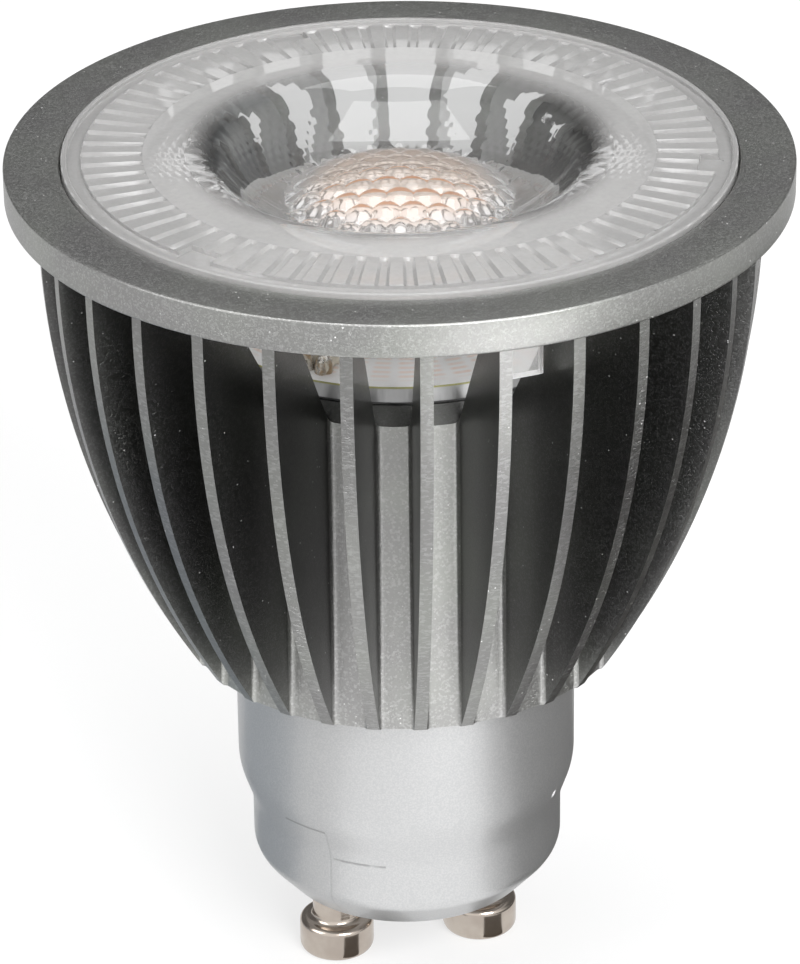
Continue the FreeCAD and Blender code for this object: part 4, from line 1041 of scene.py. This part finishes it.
floor_top = BASE_FACE + FLOOR_THICKNESS
upper_inner, lower_inner = UPPER_RADIUS - BASE_WALL, LOWER_RADIUS - BASE_WALL
corners = [(0, BASE_FACE, 0, 0), (BASE_FACE_RADIUS, BASE_FACE, 0.7, 0), (LOWER_RADIUS, BEVEL_TOP, 1.6, 0),
           (LOWER_RADIUS, TAPER_BOTTOM, 5.0, 0), (UPPER_RADIUS, TAPER_TOP, 5.0, 0),
           (UPPER_RADIUS, SLEEVE_TOP, 0.1, 0), (upper_inner, SLEEVE_TOP, 0, 0),
           (upper_inner, TAPER_TOP, 0, 0), (lower_inner, TAPER_BOTTOM, 0, 0),
           (lower_inner, floor_top, 0, 0), (0, floor_top, 0, 0)]
base = solid("base_cap", *lathe(*softened(corners, CORNER_STEPS), ROUND_STEPS), (silver_paint,))
settle(base, "silver_plastic", "base_housing")

# %% [markdown]
# ## Contact pins
# Each pin is turned from brass and nickel plated: a thick head that the lamp holder grips behind, a
# thinner neck, and a rivet inside the base. The plating is bright but shows the fine rings of the tool,
# so its noise is stretched about the axis.

# %% Nickel and pins
_, RIVET_TOP, PIN_OUTSIDE = extent("contact_pin_right")
PIN_HEAD_RADIUS, PIN_HEAD_HEIGHT, PIN_NECK_RADIUS, RIVET_RADIUS = 2.5, 2.4, 1.6, 2.2

nickel = Finish("nickel_plating")
rings = nickel.noise(per_mm=2.4, stretch=(0.15, 0.15, 3.0))
tarnish = nickel.noise(per_mm=0.5, detail=3.0)
nickel_plating = nickel.shade(
    Base_Color=nickel.blend(tarnish.step(0.3, 0.7), (0.55, 0.48, 0.42, 1), (0.66, 0.59, 0.52, 1)),
    Metallic=1.0, Roughness=0.12 + tarnish * 0.12, Normal=nickel.bump(rings, 0.02, 0.25))
corners = [(0, 0, 0, 0), (PIN_HEAD_RADIUS, 0, 0.6, 0), (PIN_HEAD_RADIUS, PIN_HEAD_HEIGHT, 0.44, 0),
           (PIN_NECK_RADIUS, PIN_HEAD_HEIGHT, 0.44, 0), (PIN_NECK_RADIUS, floor_top, 0, 0),
           (RIVET_RADIUS, floor_top, 0, 0), (RIVET_RADIUS, RIVET_TOP, 0.2, 0), (0, RIVET_TOP, 0, 0)]
pin_place = PIN_OUTSIDE - PIN_HEAD_RADIUS
for name, side in (("left", -1), ("right", 1)):
    verts, faces, marks = lathe(*softened(corners, CORNER_STEPS), SMALL_STEPS)
    verts = [(x + side * pin_place, y, z) for x, y, z in verts]
    pin = solid(f"pin_{name}", verts, faces, marks, (nickel_plating,))
    settle(pin, "pin_nickel", f"contact_pin_{name}")

# %% [markdown]
# ## Pieces inside
# The base hides the driver, and the pad, the screws and the leads hardly show, so the construction's own
# solids are right for them. They keep their meshes and get a finish each: a colour that varies a little,
# some gloss and a fine grain.

# %% Inner finishes
STEEL = ((0.62, 0.62, 0.60), 0.3, 1.0, 3.0)
FERRITE = ((0.09, 0.09, 0.10), 0.55, 0.0, 2.5)
CAN_SLEEVE = ((0.04, 0.05, 0.10), 0.3, 0.0, 0.6)
BLACK_RESIN = ((0.04, 0.04, 0.04), 0.5, 0.0, 3.0)
INNER = {
    "thermal_pad": ((0.15, 0.15, 0.15), 0.7, 0.0, 2.0),
    "board_screws": STEEL,
    "housing_screws": STEEL,
    "driver_board": ((0.06, 0.26, 0.11), 0.4, 0.0, 0.8),
    "transformer_core": FERRITE,
    "transformer_winding": ((0.78, 0.58, 0.08), 0.3, 0.0, 0.6),
    "input_capacitor": CAN_SLEEVE,
    "output_capacitor": CAN_SLEEVE,
    "choke": FERRITE,
    "bridge_rectifier": BLACK_RESIN,
    "controller_chip": BLACK_RESIN,
    "fuse_resistor": ((0.16, 0.40, 0.34), 0.4, 0.0, 1.0),
    "live_wire": ((0.26, 0.13, 0.06), 0.4, 0.0, 1.0),
    "neutral_wire": ((0.08, 0.17, 0.52), 0.4, 0.0, 1.0),
    "led_wire_positive": ((0.72, 0.66, 0.55), 0.4, 0.0, 1.0),
    "led_wire_negative": ((0.60, 0.55, 0.47), 0.4, 0.0, 1.0),
}


def inner_finish(name, colour, rough, metallic, per_mm):
    """A plain finish with a slight play of tone, gloss and grain."""
    made = Finish(name)
    tone = made.noise(per_mm, detail=3.0)
    dark, light = (tuple(channel * share for channel in colour) + (1.0,) for share in (0.85, 1.1))
    return made.shade(Base_Color=made.blend(tone, dark, light), Metallic=metallic,
                      Roughness=rough - 0.08 + tone * 0.16, Normal=made.bump(tone, 0.02, 0.4))


for name, look in INNER.items():
    nodes[name].data.materials.clear()
    nodes[name].data.materials.append(inner_finish(name + "_finish", *look))
print(len(INNER), "inner pieces finished")
